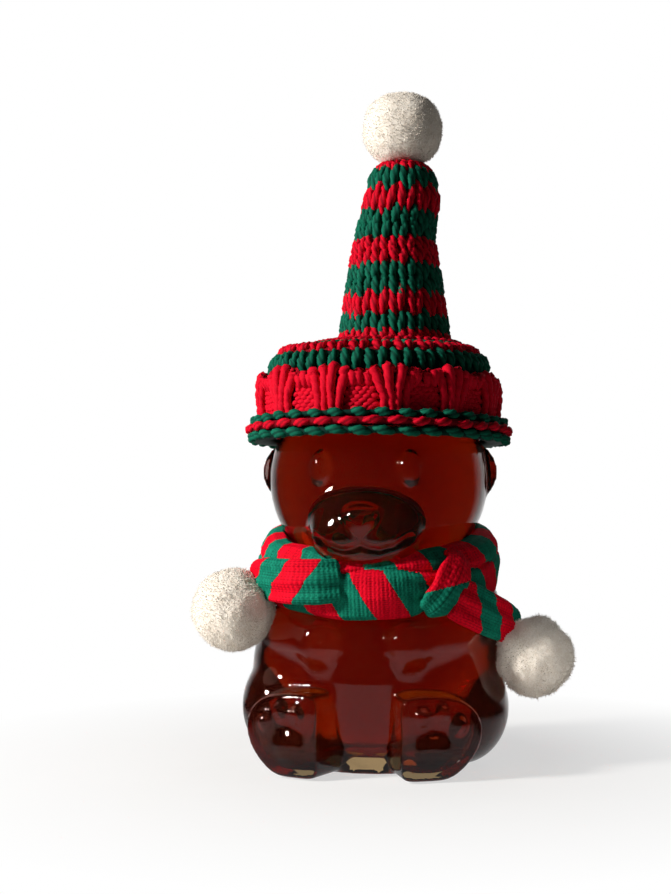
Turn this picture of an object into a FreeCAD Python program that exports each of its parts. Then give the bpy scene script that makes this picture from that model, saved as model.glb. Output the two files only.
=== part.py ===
"""Honey bear bottle in a knitted hat and scarf, in millimetres.

The bear sits on the floor at the origin and faces -Y. +X is on the right of a
person who looks at its face, and +Z is up.
"""
import FreeCAD
import Part
import math
import os

V = FreeCAD.Vector

# Glass: torso, neck and head are egg shapes given by their half sizes.
TORSO_HALF_WIDTH = 38.0
TORSO_HALF_DEPTH = 32.0
TORSO_HALF_HEIGHT = 34.8
TORSO_CENTRE_RISE = 27.0
NECK_RADIUS = 23.2
HEAD_HALF_WIDTH = 32.7
HEAD_HALF_DEPTH = 31.0
HEAD_HALF_HEIGHT = 31.0
HEAD_ABOVE_TORSO = 56.0
GLASS_WALL = 2.6
BASE_THICKNESS = 4.5

# Ears, the clear lobes at the sides of the head.
EAR_RADIUS = 9.5
EAR_HALF_THICKNESS = 3.8
EAR_REACH = 2.8
EAR_ABOVE_HEAD_CENTRE = 2.4

# Face.
MUZZLE_HALF_WIDTH = 13.5
MUZZLE_HALF_DEPTH = 12.0
MUZZLE_HALF_HEIGHT = 10.0
MUZZLE_SINK = 6.0
MUZZLE_BELOW_HEAD_CENTRE = 12.0
JOWL_RADIUS = 9.6
JOWL_HALF_DEPTH = 10.6
JOWL_FORWARD = 1.5
JOWL_SPREAD = 6.0
JOWL_DROP = 2.5
CHIN_HALF_WIDTH = 8.5
CHIN_HALF_DEPTH = 8.4
CHIN_HALF_HEIGHT = 5.0
CHIN_DROP = 9.5
NOSE_HALF_WIDTH = 6.2
NOSE_HALF_HEIGHT = 4.7
NOSE_RELIEF = 3.2
NOSE_RISE = 2.4
NOSE_SINK = 0.5
EYE_HALF_WIDTH = 2.8
EYE_HALF_HEIGHT = 3.5
EYE_RELIEF = 1.3
EYE_SPREAD = 12.5
EYE_RISE = 5.2

# Arms and legs.
SHOULDER_HALF_WIDTH = 7.5
SHOULDER_HALF_DEPTH = 10.0
SHOULDER_HALF_HEIGHT = 10.5
SHOULDER_REACH = 36.4
SHOULDER_RISE = 45.0
FOREARM_HALF_LENGTH = 18.5
FOREARM_HALF_HEIGHT = 7.4
FOREARM_HALF_DEPTH = 6.8
ELBOW_SIDE = 33.0
ELBOW_FRONT = 10.0
ELBOW_RISE = 41.0
PAW_SIDE = 11.0
PAW_FRONT = 30.5
PAW_RISE = 37.0
FINGER_HALF_LENGTH = 4.6
FINGER_HALF_HEIGHT = 2.1
FINGER_HALF_DEPTH = 3.0
FINGER_COUNT = 3
FINGER_PITCH = 4.0
FINGER_OVERHANG = 1.5
THIGH_HALF_WIDTH = 14.5
THIGH_HALF_DEPTH = 20.0
THIGH_HALF_HEIGHT = 16.6
THIGH_REACH = 39.4
THIGH_FRONT = 8.0
FOOT_LIFT = 0.3
FOOT_HALF_WIDTH = 13.0
FOOT_HALF_HEIGHT = 12.4
FOOT_INNER_EDGE = 10.0
FOOT_DEPTH = 22.0
FOOT_HOLLOW_HALF_DEPTH = 10.5
FOOT_ROUNDING = 3.2
FOOT_TOE_OUT = 22.0
FOOT_SIDE = 21.5
FOOT_FRONT = 37.0
PAD_RELIEF = 0.9
# Places of the pads on a sole, as shares of its width and height from its middle.
TOE_PAD_PLACES = [(-0.20, 0.22), (0.04, 0.25), (0.26, 0.12)]
MAIN_PAD_PLACE = (-0.07, -0.16)
TOE_PAD_HALF_WIDTH = 2.1
TOE_PAD_HALF_HEIGHT = 2.6
MAIN_PAD_HALF_WIDTH = 4.2
MAIN_PAD_HALF_HEIGHT = 4.0

# Mouth of the bottle, with four sloped thread lugs for a twist-off lid.
FINISH_RADIUS = 25.2
BORE_RADIUS = 21.6
RIM_ABOVE_HEAD_CENTRE = 32.0
RIM_ROUNDING = 0.8
LUG_COUNT = 4
THREAD_PITCH = 12.0
THREAD_ARC = 50.0
THREAD_HEIGHT = 1.8
THREAD_RELIEF = 1.1
THREAD_ROOT = 0.6
THREAD_BELOW_RIM = 5.6
LID_TURN = 66.0

# Lid and its gasket.
LID_SHEET = 0.5
LID_HEIGHT = 9.6
LID_RADIUS = 27.6
LID_CURL_RADIUS = 0.8
LID_LUG_ARC = 12.0
LID_LUG_START = 2.0
LID_LUG_HEIGHT = 1.2
LID_BUTTON_RADIUS = 11.0
LID_BUTTON_DEPTH = 0.4
GASKET_THICKNESS = 1.1
GASKET_WIDTH = 5.4
LUG_CLEARANCE = 0.25

# Honey.
HONEY_CLEARANCE = 0.12
HONEY_BELOW_RIM = 13.0

# Hat: knitted fabric on the head.
SEAT_CLEARANCE = 0.3
BRIM_ABOVE_HEAD_CENTRE = 9.4
EDGE_YARN_RADIUS = 1.7
EDGE_GAP = 0.05
EDGE_EAR_CLEARANCE = 0.4
EDGE_MIDDLE_STEP = 0.7
CUFF_OUTER_RADIUS = 36.5
CUFF_HEIGHT = 21.6
CUFF_SKIRT_RADIUS = 33.0
CUFF_LIP = 0.6
CUFF_RIB_COUNT = 12
CUFF_RIB_GROOVE_RADIUS = 6.0
CUFF_RIB_GROOVE_DEPTH = 1.2
SEAT_BELOW_CUFF_TOP = 16.0
SEAT_HEIGHT = 2.0
FABRIC = 2.8
CROWN_RADIUS = 32.4
CROWN_HEADROOM = 0.6
CROWN_DOME_RISE = 3.4
CROWN_COLOUR_BELOW_TOP = 5.0

# Spire of the hat: centres and radii of its cross-sections above the crown.
SPIRE_FABRIC = 2.2
SPIRE_FOOT_RADIUS = 17.4
SPIRE_LOW_RADIUS = 16.0
SPIRE_MIDDLE_RADIUS = 14.0
SPIRE_PINCH_RADIUS = 12.1
SPIRE_HIGH_RADIUS = 11.4
SPIRE_TOP_RADIUS = 9.2
SPIRE_HEIGHT = 52.6
SPIRE_OFFSET = 4.7
SPIRE_LEAN = 2.4
# Heights of those sections and tops of the stripes, as shares of the spire's height.
SPIRE_LOW_SHARE = 0.16
SPIRE_MIDDLE_SHARE = 0.42
SPIRE_PINCH_SHARE = 0.62
SPIRE_HIGH_SHARE = 0.84
STRIPE_TOP_SHARES = [0.067, 0.160, 0.278, 0.449, 0.593, 0.751, 0.882, 1.0]
# The tip bends about a point below the pinch, where it and the lower part meet in a ball joint.
BEND_BELOW_PINCH = 8.0
BEND_GAP = 0.3
GATHER_HEIGHT = 2.2
GATHER_HOLE_RADIUS = 2.7
HAT_POMPOM_RADIUS = 12.0
HAT_POMPOM_HALF_HEIGHT = 11.2
HAT_POMPOM_SINK = 1.2

# Ties: bound yarn that holds each pompom.
TIE_RADIUS = 2.4
TIE_CLEARANCE = 0.25
TIE_DEPTH = 6.0
TIE_TAIL = 3.0

# Scarf: a tilted band round the neck, a crossing and two tails.
SCARF_CLEARANCE = 0.35
SCARF_TILT = 12.0
SCARF_ABOVE_TORSO_CENTRE = 30.6
SCARF_OUTER_RADIUS = 36.0
SCARF_INNER_RADIUS = 23.0
SCARF_HALF_WIDTH = 7.2
SCARF_TOP_LEAN = 4.0
SCARF_STRIPE_COUNT = 22
SCARF_STRIPE_START = 8.6
SCARF_STRIPE_SLANT = 28.0
KNOT_HALF_WIDTH = 6.6
KNOT_HALF_HEIGHT = 7.2
KNOT_RELIEF = 5.2
KNOT_AZIMUTH = 40.0
PIECE_GAP = 0.1
TAIL_GAP = 0.35
TAIL_THICKNESS = 4.6
TAIL_WIDTH = 12.6
TAIL_END_WIDTH = 7.0
TAIL_STRIPES = 4
LEFT_ROOT_AZIMUTH = -20.0
LEFT_END_AZIMUTH = -55.0
LEFT_RISE = 2.4
RIGHT_ROOT_AZIMUTH = 47.0
RIGHT_END_AZIMUTH = 76.0
RIGHT_ROOT_DROP = 3.0
RIGHT_END_DROP = 15.0
RIGHT_END_OUT = 5.0
LEFT_POMPOM_RADIUS = 12.3
RIGHT_POMPOM_RADIUS = 11.6
LEFT_HANG_SIDE = -0.60
LEFT_HANG_FRONT = 0.10
RIGHT_HANG_SIDE = 0.60
RIGHT_HANG_FRONT = 0.10

# Heights and radii that follow from the sizes above.
TORSO_Z = TORSO_CENTRE_RISE
HEAD_Z = TORSO_Z + HEAD_ABOVE_TORSO
RIM_Z = HEAD_Z + RIM_ABOVE_HEAD_CENTRE
LID_TOP_Z = RIM_Z + GASKET_THICKNESS + LID_SHEET
LID_LIFT = THREAD_PITCH * LID_TURN / 360.0
HAT_Z = HEAD_Z + BRIM_ABOVE_HEAD_CENTRE
EDGE_INSIDE_RADIUS = HEAD_HALF_WIDTH + EAR_REACH + EDGE_EAR_CLEARANCE
EDGE_OUTER_RADIUS = EDGE_INSIDE_RADIUS + EDGE_MIDDLE_STEP + 2 * EDGE_YARN_RADIUS
CUFF_TOP_Z = HAT_Z + CUFF_HEIGHT
CROWN_CEILING_Z = LID_TOP_Z + LID_LIFT + CROWN_HEADROOM
CROWN_TOP_Z = CROWN_CEILING_Z + CROWN_DOME_RISE + FABRIC
SPIRE_FOOT_Z = CROWN_CEILING_Z + CROWN_DOME_RISE
SPIRE_TOP_Z = SPIRE_FOOT_Z + SPIRE_HEIGHT
BEND_Z = SPIRE_FOOT_Z + SPIRE_HEIGHT * SPIRE_PINCH_SHARE - BEND_BELOW_PINCH
BEND_BALL_RADIUS = math.hypot(SPIRE_PINCH_RADIUS, BEND_BELOW_PINCH)
FAR = 400.0


def ellipsoid(centre, half_x, half_y, half_z, turn=None):
    """An egg shape with its half sizes along X, Y and Z, turned and then placed."""
    scale = FreeCAD.Matrix()
    scale.scale(half_x, half_y, half_z)
    egg = Part.makeSphere(1.0).transformGeometry(scale)
    egg.Placement = FreeCAD.Placement(centre, turn or FreeCAD.Rotation())
    return egg


def mirrored(shape):
    """The same shape on the other side of the bear."""
    return shape.mirror(V(0, 0, 0), V(1, 0, 0))


def both_sides(shapes):
    """The shapes with their mirror images."""
    return shapes + [mirrored(shape) for shape in shapes]


def fused(shapes):
    """One solid out of shapes that overlap."""
    return shapes[0].fuse(shapes[1:]).removeSplitter()


def revolved(edges):
    """A solid of revolution about Z from a closed outline in the XZ plane."""
    face = Part.Face(Part.Wire(edges))
    return face.revolve(V(0, 0, 0), V(0, 0, 1), 360)


def line(a, b):
    """A straight edge in the XZ plane between two (radius, height) points."""
    return Part.LineSegment(V(a[0], 0, a[1]), V(b[0], 0, b[1])).toShape()


def arc(a, b, c):
    """An arc in the XZ plane through three (radius, height) points."""
    return Part.Arc(V(a[0], 0, a[1]), V(b[0], 0, b[1]), V(c[0], 0, c[1])).toShape()


def slab(low, high):
    """All space between two heights."""
    return Part.makeBox(2 * FAR, 2 * FAR, high - low, V(-FAR, -FAR, low))


def half_space(point, direction):
    """All space ahead of a plane through the point, square to the direction."""
    box = Part.makeBox(FAR, FAR, FAR, V(-FAR / 2, -FAR / 2, 0))
    box.Placement = FreeCAD.Placement(point, FreeCAD.Rotation(V(0, 0, 1), direction))
    return box


def surface_front(half_width, half_depth, half_height, side, rise):
    """Distance in front of its centre of an egg shape's surface, at a place on its face."""
    rest = 1 - (side / half_width) ** 2 - (rise / half_height) ** 2
    return half_depth * math.sqrt(rest)


# Bear.

def trunk(grow):
    """Torso, neck and head, grown or shrunk on every side."""
    torso = ellipsoid(V(0, 0, TORSO_Z), TORSO_HALF_WIDTH + grow, TORSO_HALF_DEPTH + grow,
                      TORSO_HALF_HEIGHT + grow)
    neck = Part.makeCylinder(NECK_RADIUS + grow, HEAD_ABOVE_TORSO, V(0, 0, TORSO_Z))
    head = ellipsoid(V(0, 0, HEAD_Z), HEAD_HALF_WIDTH + grow, HEAD_HALF_DEPTH + grow,
                     HEAD_HALF_HEIGHT + grow)
    return [torso, neck, head]


def muzzle(grow):
    """Bridge of the muzzle, the chin and two jowls."""
    y = MUZZLE_SINK - HEAD_HALF_DEPTH
    z = HEAD_Z - MUZZLE_BELOW_HEAD_CENTRE
    bridge = ellipsoid(V(0, y, z), MUZZLE_HALF_WIDTH + grow, MUZZLE_HALF_DEPTH + grow,
                       MUZZLE_HALF_HEIGHT + grow)
    chin = ellipsoid(V(0, y, z - CHIN_DROP), CHIN_HALF_WIDTH + grow, CHIN_HALF_DEPTH + grow,
                     CHIN_HALF_HEIGHT + grow)
    jowl = ellipsoid(V(JOWL_SPREAD, y - JOWL_FORWARD, z - JOWL_DROP), JOWL_RADIUS + grow,
                     JOWL_HALF_DEPTH + grow, JOWL_RADIUS + grow)
    return [bridge, chin] + both_sides([jowl])


def arms(grow):
    """Shoulders, and forearms that lie on the belly."""
    shoulder = ellipsoid(V(SHOULDER_REACH - SHOULDER_HALF_WIDTH, 0, SHOULDER_RISE),
                         SHOULDER_HALF_WIDTH + grow, SHOULDER_HALF_DEPTH + grow,
                         SHOULDER_HALF_HEIGHT + grow)
    elbow = V(ELBOW_SIDE, -ELBOW_FRONT, ELBOW_RISE)
    paw = V(PAW_SIDE, -PAW_FRONT, PAW_RISE)
    along = FreeCAD.Rotation(V(1, 0, 0), elbow - paw)
    forearm = ellipsoid((elbow + paw) / 2, FOREARM_HALF_LENGTH + grow, FOREARM_HALF_DEPTH + grow,
                        FOREARM_HALF_HEIGHT + grow, along)
    return both_sides([shoulder, forearm])


def thighs(grow):
    """Thighs at the sides of the sitting bear."""
    at = V(THIGH_REACH - THIGH_HALF_WIDTH, -THIGH_FRONT, THIGH_HALF_HEIGHT + FOOT_LIFT)
    return both_sides([ellipsoid(at, THIGH_HALF_WIDTH + grow, THIGH_HALF_DEPTH + grow,
                                 THIGH_HALF_HEIGHT + grow)])


def fingers():
    """Finger lobes at the end of each paw."""
    lobes = []
    for i in range(FINGER_COUNT):
        rise = (i - (FINGER_COUNT - 1) / 2) * FINGER_PITCH
        at = V(PAW_SIDE - FINGER_OVERHANG, -PAW_FRONT - FINGER_HALF_DEPTH, PAW_RISE + rise)
        lobes.append(ellipsoid(at, FINGER_HALF_LENGTH, FINGER_HALF_DEPTH, FINGER_HALF_HEIGHT))
    return both_sides(lobes)


def feet():
    """Feet with upright soles, a straight inner edge and raised pads."""
    sole = Part.Ellipse(V(0, 0, 0), FOOT_HALF_WIDTH, FOOT_HALF_HEIGHT).toShape()
    foot = Part.Face(Part.Wire(sole)).extrude(V(0, 0, FOOT_DEPTH))
    keep = Part.makeBox(FAR, FAR, FAR, V(-FOOT_INNER_EDGE, -FAR / 2, -FAR / 2))
    foot = foot.common(keep)
    front = [edge for edge in foot.Edges if abs(edge.BoundBox.ZMin - FOOT_DEPTH) < 0.001]
    foot = foot.makeFillet(FOOT_ROUNDING, front)
    width = FOOT_HALF_WIDTH + FOOT_INNER_EDGE
    height = 2 * FOOT_HALF_HEIGHT
    pads = [ellipsoid(V(across * width, up * height, FOOT_DEPTH), TOE_PAD_HALF_WIDTH,
                      TOE_PAD_HALF_HEIGHT, PAD_RELIEF) for across, up in TOE_PAD_PLACES]
    across, up = MAIN_PAD_PLACE
    pads.append(ellipsoid(V(across * width, up * height, FOOT_DEPTH), MAIN_PAD_HALF_WIDTH,
                          MAIN_PAD_HALF_HEIGHT, PAD_RELIEF))
    return both_sides([set_on_foot(fused([foot] + pads))])


def set_on_foot(shape):
    """Moves a shape from a sole's own axes, across, up and out, to its place on the bear."""
    turn = math.radians(FOOT_TOE_OUT)
    shape.rotate(V(0, 0, 0), V(1, 0, 0), 90)
    shape.rotate(V(0, 0, 0), V(0, 0, 1), FOOT_TOE_OUT)
    shape.translate(V(FOOT_SIDE - FOOT_DEPTH * math.sin(turn),
                      -FOOT_FRONT + FOOT_DEPTH * math.cos(turn), FOOT_HALF_HEIGHT + FOOT_LIFT))
    return shape


def foot_hollows(grow):
    """Hollow of each foot, behind its sole."""
    middle = (FOOT_HALF_WIDTH - FOOT_INNER_EDGE) / 2
    half_width = (FOOT_HALF_WIDTH + FOOT_INNER_EDGE) / 2
    hollow = ellipsoid(V(middle, 0, FOOT_DEPTH - FOOT_HOLLOW_HALF_DEPTH), half_width + grow,
                       FOOT_HALF_HEIGHT + grow, FOOT_HOLLOW_HALF_DEPTH + grow)
    return both_sides([set_on_foot(hollow)])


def face():
    """Nose and eyes."""
    tip = MUZZLE_SINK - HEAD_HALF_DEPTH - MUZZLE_HALF_DEPTH
    z = HEAD_Z - MUZZLE_BELOW_HEAD_CENTRE + NOSE_RISE
    nose = ellipsoid(V(0, tip + NOSE_SINK, z), NOSE_HALF_WIDTH, NOSE_RELIEF, NOSE_HALF_HEIGHT)
    front = surface_front(HEAD_HALF_WIDTH, HEAD_HALF_DEPTH, HEAD_HALF_HEIGHT, EYE_SPREAD, EYE_RISE)
    out = FreeCAD.Rotation(V(0, -1, 0), V(EYE_SPREAD, -front, 0))
    eye = ellipsoid(V(EYE_SPREAD, -front, HEAD_Z + EYE_RISE), EYE_HALF_WIDTH, EYE_RELIEF,
                    EYE_HALF_HEIGHT, out)
    return [nose] + both_sides([eye])


def ears():
    """Ear lobes, mostly under the brim of the hat."""
    at = V(HEAD_HALF_WIDTH + EAR_REACH - EAR_RADIUS, 0, HEAD_Z + EAR_ABOVE_HEAD_CENTRE)
    return both_sides([ellipsoid(at, EAR_RADIUS, EAR_HALF_THICKNESS, EAR_RADIUS)])


def thread_lugs():
    """Sloped ridges round the mouth, one helix arc each."""
    rise = THREAD_PITCH * THREAD_ARC / 360
    inner = FINISH_RADIUS - THREAD_ROOT
    outer = FINISH_RADIUS + THREAD_RELIEF
    low = RIM_Z - THREAD_BELOW_RIM
    corners = [V(inner, 0, low), V(outer, 0, low), V(outer, 0, low + THREAD_HEIGHT / 2),
               V(inner, 0, low + THREAD_HEIGHT), V(inner, 0, low)]
    profile = Part.makePolygon(corners)
    helix = Part.makeHelix(THREAD_PITCH, rise, FINISH_RADIUS)
    helix.translate(V(0, 0, low))
    ridge = Part.Wire(helix).makePipeShell([profile], True, True)
    lugs = []
    for i in range(LUG_COUNT):
        lug = ridge.copy()
        lug.rotate(V(0, 0, 0), V(0, 0, 1), 360 / LUG_COUNT * i)
        lugs.append(lug)
    return lugs


def finish():
    """Cylindrical mouth with a rounded rim."""
    tube = Part.makeCylinder(FINISH_RADIUS, RIM_Z - HEAD_Z, V(0, 0, HEAD_Z))
    rim = [edge for edge in tube.Edges if abs(edge.BoundBox.ZMin - RIM_Z) < 0.001]
    return tube.makeFillet(RIM_ROUNDING, rim)


def cavity(clearance):
    """Hollow of the bottle, drawn in by a clearance."""
    shrink = -GLASS_WALL - clearance
    bore = Part.makeCylinder(BORE_RADIUS - clearance, RIM_Z - HEAD_Z + 1, V(0, 0, HEAD_Z))
    bridge = muzzle(shrink)[:1]
    hollow = fused(trunk(shrink) + bridge + thighs(shrink) + foot_hollows(shrink) + [bore])
    return hollow.common(slab(BASE_THICKNESS + clearance, FAR))


def glass_bottle():
    """The whole glass bear with its hollow, its mouth and a flat base."""
    outside = fused(trunk(0) + muzzle(0) + arms(0) + thighs(0) + fingers() + feet() + face() + ears()
                    + [finish()])
    bear = outside.cut(cavity(0)).common(slab(0, FAR))
    return bear.fuse(thread_lugs()).removeSplitter()


def honey_fill():
    """Honey up to its level in the neck."""
    return cavity(HONEY_CLEARANCE).common(slab(0, RIM_Z - HONEY_BELOW_RIM))


# Lid.

def lid_shell():
    """Twist-off lid: top panel with a dished button, skirt, curl and inward lugs."""
    bottom = LID_TOP_Z - LID_HEIGHT
    inner = LID_RADIUS - LID_SHEET
    shell = Part.makeCylinder(LID_RADIUS, LID_HEIGHT, V(0, 0, bottom))
    edge = [e for e in shell.Edges if abs(e.BoundBox.ZMin - LID_TOP_Z) < 0.001]
    shell = shell.makeFillet(LID_SHEET, edge)
    shell = shell.cut(Part.makeCylinder(inner, LID_HEIGHT - LID_SHEET, V(0, 0, bottom)))
    button = Part.makeCylinder(LID_BUTTON_RADIUS, LID_BUTTON_DEPTH, V(0, 0, LID_TOP_Z))
    ring = Part.makeCylinder(LID_BUTTON_RADIUS - LID_SHEET, LID_BUTTON_DEPTH, V(0, 0, LID_TOP_Z))
    shell = shell.fuse(button.cut(ring))
    curl = Part.makeTorus(LID_RADIUS - LID_CURL_RADIUS / 2, LID_CURL_RADIUS,
                          V(0, 0, bottom + LID_CURL_RADIUS))
    low = RIM_Z - THREAD_BELOW_RIM
    top = low + THREAD_PITCH * LID_LUG_START / 360 - LUG_CLEARANCE
    reach = FINISH_RADIUS + 2 * LUG_CLEARANCE
    tab = Part.makeCylinder(LID_RADIUS - LID_SHEET / 2, LID_LUG_HEIGHT, V(0, 0, top - LID_LUG_HEIGHT),
                            V(0, 0, 1), LID_LUG_ARC)
    tab = tab.cut(Part.makeCylinder(reach, FAR, V(0, 0, 0)))
    tabs = []
    for i in range(LUG_COUNT):
        one = tab.copy()
        one.rotate(V(0, 0, 0), V(0, 0, 1), 360 / LUG_COUNT * i + LID_LUG_START)
        tabs.append(one)
    return fused([shell, curl] + tabs)


def lid_gasket():
    """Sealing ring between the rim and the lid."""
    outer = Part.makeCylinder(FINISH_RADIUS, GASKET_THICKNESS, V(0, 0, RIM_Z))
    return outer.cut(Part.makeCylinder(FINISH_RADIUS - GASKET_WIDTH, FAR, V(0, 0, 0)))


# Hat.

def edge_round(index, radius):
    """One round of the braided edge, counted from below."""
    z = HAT_Z + EDGE_YARN_RADIUS + index * (2 * EDGE_YARN_RADIUS + EDGE_GAP)
    return Part.makeTorus(radius - EDGE_YARN_RADIUS, EDGE_YARN_RADIUS, V(0, 0, z))


def hat_cuff():
    """Ribbed double cuff; its inside narrows to a seat on the head."""
    seat_z = CUFF_TOP_Z - SEAT_BELOW_CUFF_TOP
    rise = seat_z - HEAD_Z
    seat = HEAD_HALF_WIDTH * math.sqrt(1 - (rise / HEAD_HALF_HEIGHT) ** 2) + SEAT_CLEARANCE
    edge_inside = EDGE_INSIDE_RADIUS - PIECE_GAP
    edge_top = HAT_Z + 6 * EDGE_YARN_RADIUS + 3 * EDGE_GAP
    inner = CROWN_RADIUS - FABRIC
    middle = (edge_top + CUFF_TOP_Z) / 2
    skirt = (CUFF_SKIRT_RADIUS, HAT_Z)
    points = [skirt, (edge_inside, HAT_Z), (edge_inside, edge_top)]
    edges = [line(a, b) for a, b in zip(points, points[1:])]
    lip = (CROWN_RADIUS + CUFF_LIP, CUFF_TOP_Z)
    edges.append(arc((edge_inside, edge_top), (CUFF_OUTER_RADIUS, middle), lip))
    inside = [lip, (inner, CUFF_TOP_Z), (inner, seat_z + SEAT_HEIGHT), (seat, seat_z), skirt]
    edges += [line(a, b) for a, b in zip(inside, inside[1:])]
    cuff = revolved(edges)
    centre = CUFF_OUTER_RADIUS + CUFF_RIB_GROOVE_RADIUS - CUFF_RIB_GROOVE_DEPTH
    grooves = []
    for i in range(CUFF_RIB_COUNT):
        turn = 2 * math.pi * i / CUFF_RIB_COUNT
        at = V(centre * math.cos(turn), centre * math.sin(turn), edge_top)
        grooves.append(Part.makeCylinder(CUFF_RIB_GROOVE_RADIUS, CUFF_HEIGHT, at))
    return cuff.cut(grooves)


def crown():
    """Flat dome of the hat over the lid, with the hole that the spire grows from."""
    inner = CROWN_RADIUS - FABRIC
    corner_z = CROWN_CEILING_Z - FABRIC / 2
    shoulder = (CROWN_RADIUS - 2 * FABRIC, CROWN_CEILING_Z + FABRIC)
    edges = [line((inner, CUFF_TOP_Z), (CROWN_RADIUS, CUFF_TOP_Z)),
             line((CROWN_RADIUS, CUFF_TOP_Z), (CROWN_RADIUS, corner_z)),
             arc((CROWN_RADIUS, corner_z), (CROWN_RADIUS - 0.5 * FABRIC, CROWN_CEILING_Z + 0.45 * FABRIC),
                 shoulder),
             line(shoulder, (0, CROWN_TOP_Z)),
             line((0, CROWN_TOP_Z), (0, CROWN_TOP_Z - FABRIC)),
             line((0, CROWN_TOP_Z - FABRIC), (inner - FABRIC / 2, CROWN_CEILING_Z)),
             line((inner - FABRIC / 2, CROWN_CEILING_Z), (inner, corner_z)),
             line((inner, corner_z), (inner, CUFF_TOP_Z))]
    return revolved(edges).cut(spire_core(0))


def spire_core(inset):
    """Solid spire, drawn in by the inset all round, from under the crown to its top."""
    below_crown = -(FABRIC + CROWN_DOME_RISE) / SPIRE_HEIGHT
    stations = [(below_crown, SPIRE_FOOT_RADIUS, 0), (0, SPIRE_FOOT_RADIUS, 0),
                (SPIRE_LOW_SHARE, SPIRE_LOW_RADIUS, 0), (SPIRE_MIDDLE_SHARE, SPIRE_MIDDLE_RADIUS, 0),
                (SPIRE_PINCH_SHARE, SPIRE_PINCH_RADIUS, 0),
                (SPIRE_HIGH_SHARE, SPIRE_HIGH_RADIUS, SPIRE_LEAN), (1, SPIRE_TOP_RADIUS, SPIRE_LEAN)]
    wires = []
    for share, radius, lean in stations:
        at = V(SPIRE_OFFSET + lean, 0, SPIRE_FOOT_Z + share * SPIRE_HEIGHT)
        wires.append(Part.Wire(Part.makeCircle(radius - inset, at)))
    return Part.makeLoft(wires, True, False)


def spire_stripes():
    """Stripes of the spire from its foot to its top, as (name, solid), split at the bend."""
    shell = spire_core(0).cut(spire_core(SPIRE_FABRIC))
    bend = V(SPIRE_OFFSET, 0, BEND_Z)
    ball = Part.makeSphere(BEND_BALL_RADIUS, bend)
    wide_ball = Part.makeSphere(BEND_BALL_RADIUS + BEND_GAP, bend)
    names = ["hat_spire_red_foot", "hat_spire_green_low", "hat_spire_red_low",
             "hat_spire_green_middle", "hat_spire_red_middle", "hat_tip_green_low", "hat_tip_red",
             "hat_tip_green_high"]
    cuts = [SPIRE_FOOT_Z] + [SPIRE_FOOT_Z + share * SPIRE_HEIGHT for share in STRIPE_TOP_SHARES]
    stripes = []
    for name, low, high in zip(names, cuts, cuts[1:]):
        if name == "hat_spire_red_middle":
            stripe = shell.common(slab(low, FAR)).common(ball)
        elif name == "hat_tip_green_low":
            stripe = shell.common(slab(bend.z, high)).cut(wide_ball)
        else:
            stripe = shell.common(slab(low, high))
        stripes.append((name, stripe))
    return stripes


def hat_gather():
    """Red round that closes the top of the spire, with a hole for the tie."""
    at = V(SPIRE_OFFSET + SPIRE_LEAN, 0, SPIRE_TOP_Z)
    disc = Part.makeCylinder(SPIRE_TOP_RADIUS, GATHER_HEIGHT, at)
    rims = [e for e in disc.Edges if abs(e.BoundBox.ZMin - SPIRE_TOP_Z - GATHER_HEIGHT) < 0.001]
    disc = disc.makeFillet(GATHER_HEIGHT * 0.6, rims)
    return disc.cut(Part.makeCylinder(GATHER_HOLE_RADIUS, FAR, V(at.x, 0, 0)))


def hat_pompom():
    """Pompom, flattened where it sits on the gathered top, with a bore for its tie."""
    seat = SPIRE_TOP_Z + GATHER_HEIGHT
    centre = V(SPIRE_OFFSET + SPIRE_LEAN, 0, seat + HAT_POMPOM_HALF_HEIGHT - HAT_POMPOM_SINK)
    ball = ellipsoid(centre, HAT_POMPOM_RADIUS, HAT_POMPOM_RADIUS, HAT_POMPOM_HALF_HEIGHT)
    ball = ball.common(slab(seat, FAR))
    return ball.cut(Part.makeCylinder(TIE_RADIUS + TIE_CLEARANCE, TIE_DEPTH, V(centre.x, 0, seat)))


def hat_pompom_tie():
    """Bound yarn from inside the spire into the pompom."""
    seat = SPIRE_TOP_Z + GATHER_HEIGHT
    at = V(SPIRE_OFFSET + SPIRE_LEAN, 0, seat - GATHER_HEIGHT - TIE_TAIL)
    return Part.makeCylinder(TIE_RADIUS, TIE_TAIL + GATHER_HEIGHT + TIE_DEPTH, at)


# Scarf.

def scarf_frame():
    """Placement of the tilted band: its own Z axis leans so that the front is low."""
    turn = FreeCAD.Rotation(V(1, 0, 0), SCARF_TILT)
    return FreeCAD.Placement(V(0, 0, TORSO_Z + SCARF_ABOVE_TORSO_CENTRE), turn)


def scarf_ring(grow):
    """The band as a plain tilted ring with a bulging outer face."""
    half = SCARF_HALF_WIDTH + grow
    outer = SCARF_OUTER_RADIUS + grow
    inner = SCARF_INNER_RADIUS - grow
    low = (outer - SCARF_TOP_LEAN / 2, -half)
    high = (outer - SCARF_TOP_LEAN, half)
    ring = revolved([line((inner, half), (inner, -half)), line((inner, -half), low),
                     arc(low, (outer, 0), high), line(high, (inner, half))])
    ring.Placement = scarf_frame()
    return ring


def bear_mould(grow):
    """Bear without small details, grown by a clearance, to shape what lies on it."""
    return fused(trunk(grow) + muzzle(grow) + arms(grow) + thighs(grow))


def scarf_stripes(band):
    """Slanted stripes of the band, in turn red and green."""
    frame = scarf_frame()
    slant = math.radians(SCARF_STRIPE_SLANT)
    colours = ([], [])
    step = 360 / SCARF_STRIPE_COUNT
    for i in range(SCARF_STRIPE_COUNT):
        stripe = band
        for side, angle in ((1, i * step), (-1, (i + 1) * step)):
            turn = math.radians(SCARF_STRIPE_START + angle)
            flat = math.cos(slant)
            normal = V(-math.sin(turn) * flat, math.cos(turn) * flat, math.sin(slant))
            direction = frame.Rotation.multVec(normal) * side
            stripe = stripe.common(half_space(frame.Base, direction))
        colours[i % 2].append(stripe)
    return [Part.makeCompound([s for part in group for s in part.Solids]) for group in colours]


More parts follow.
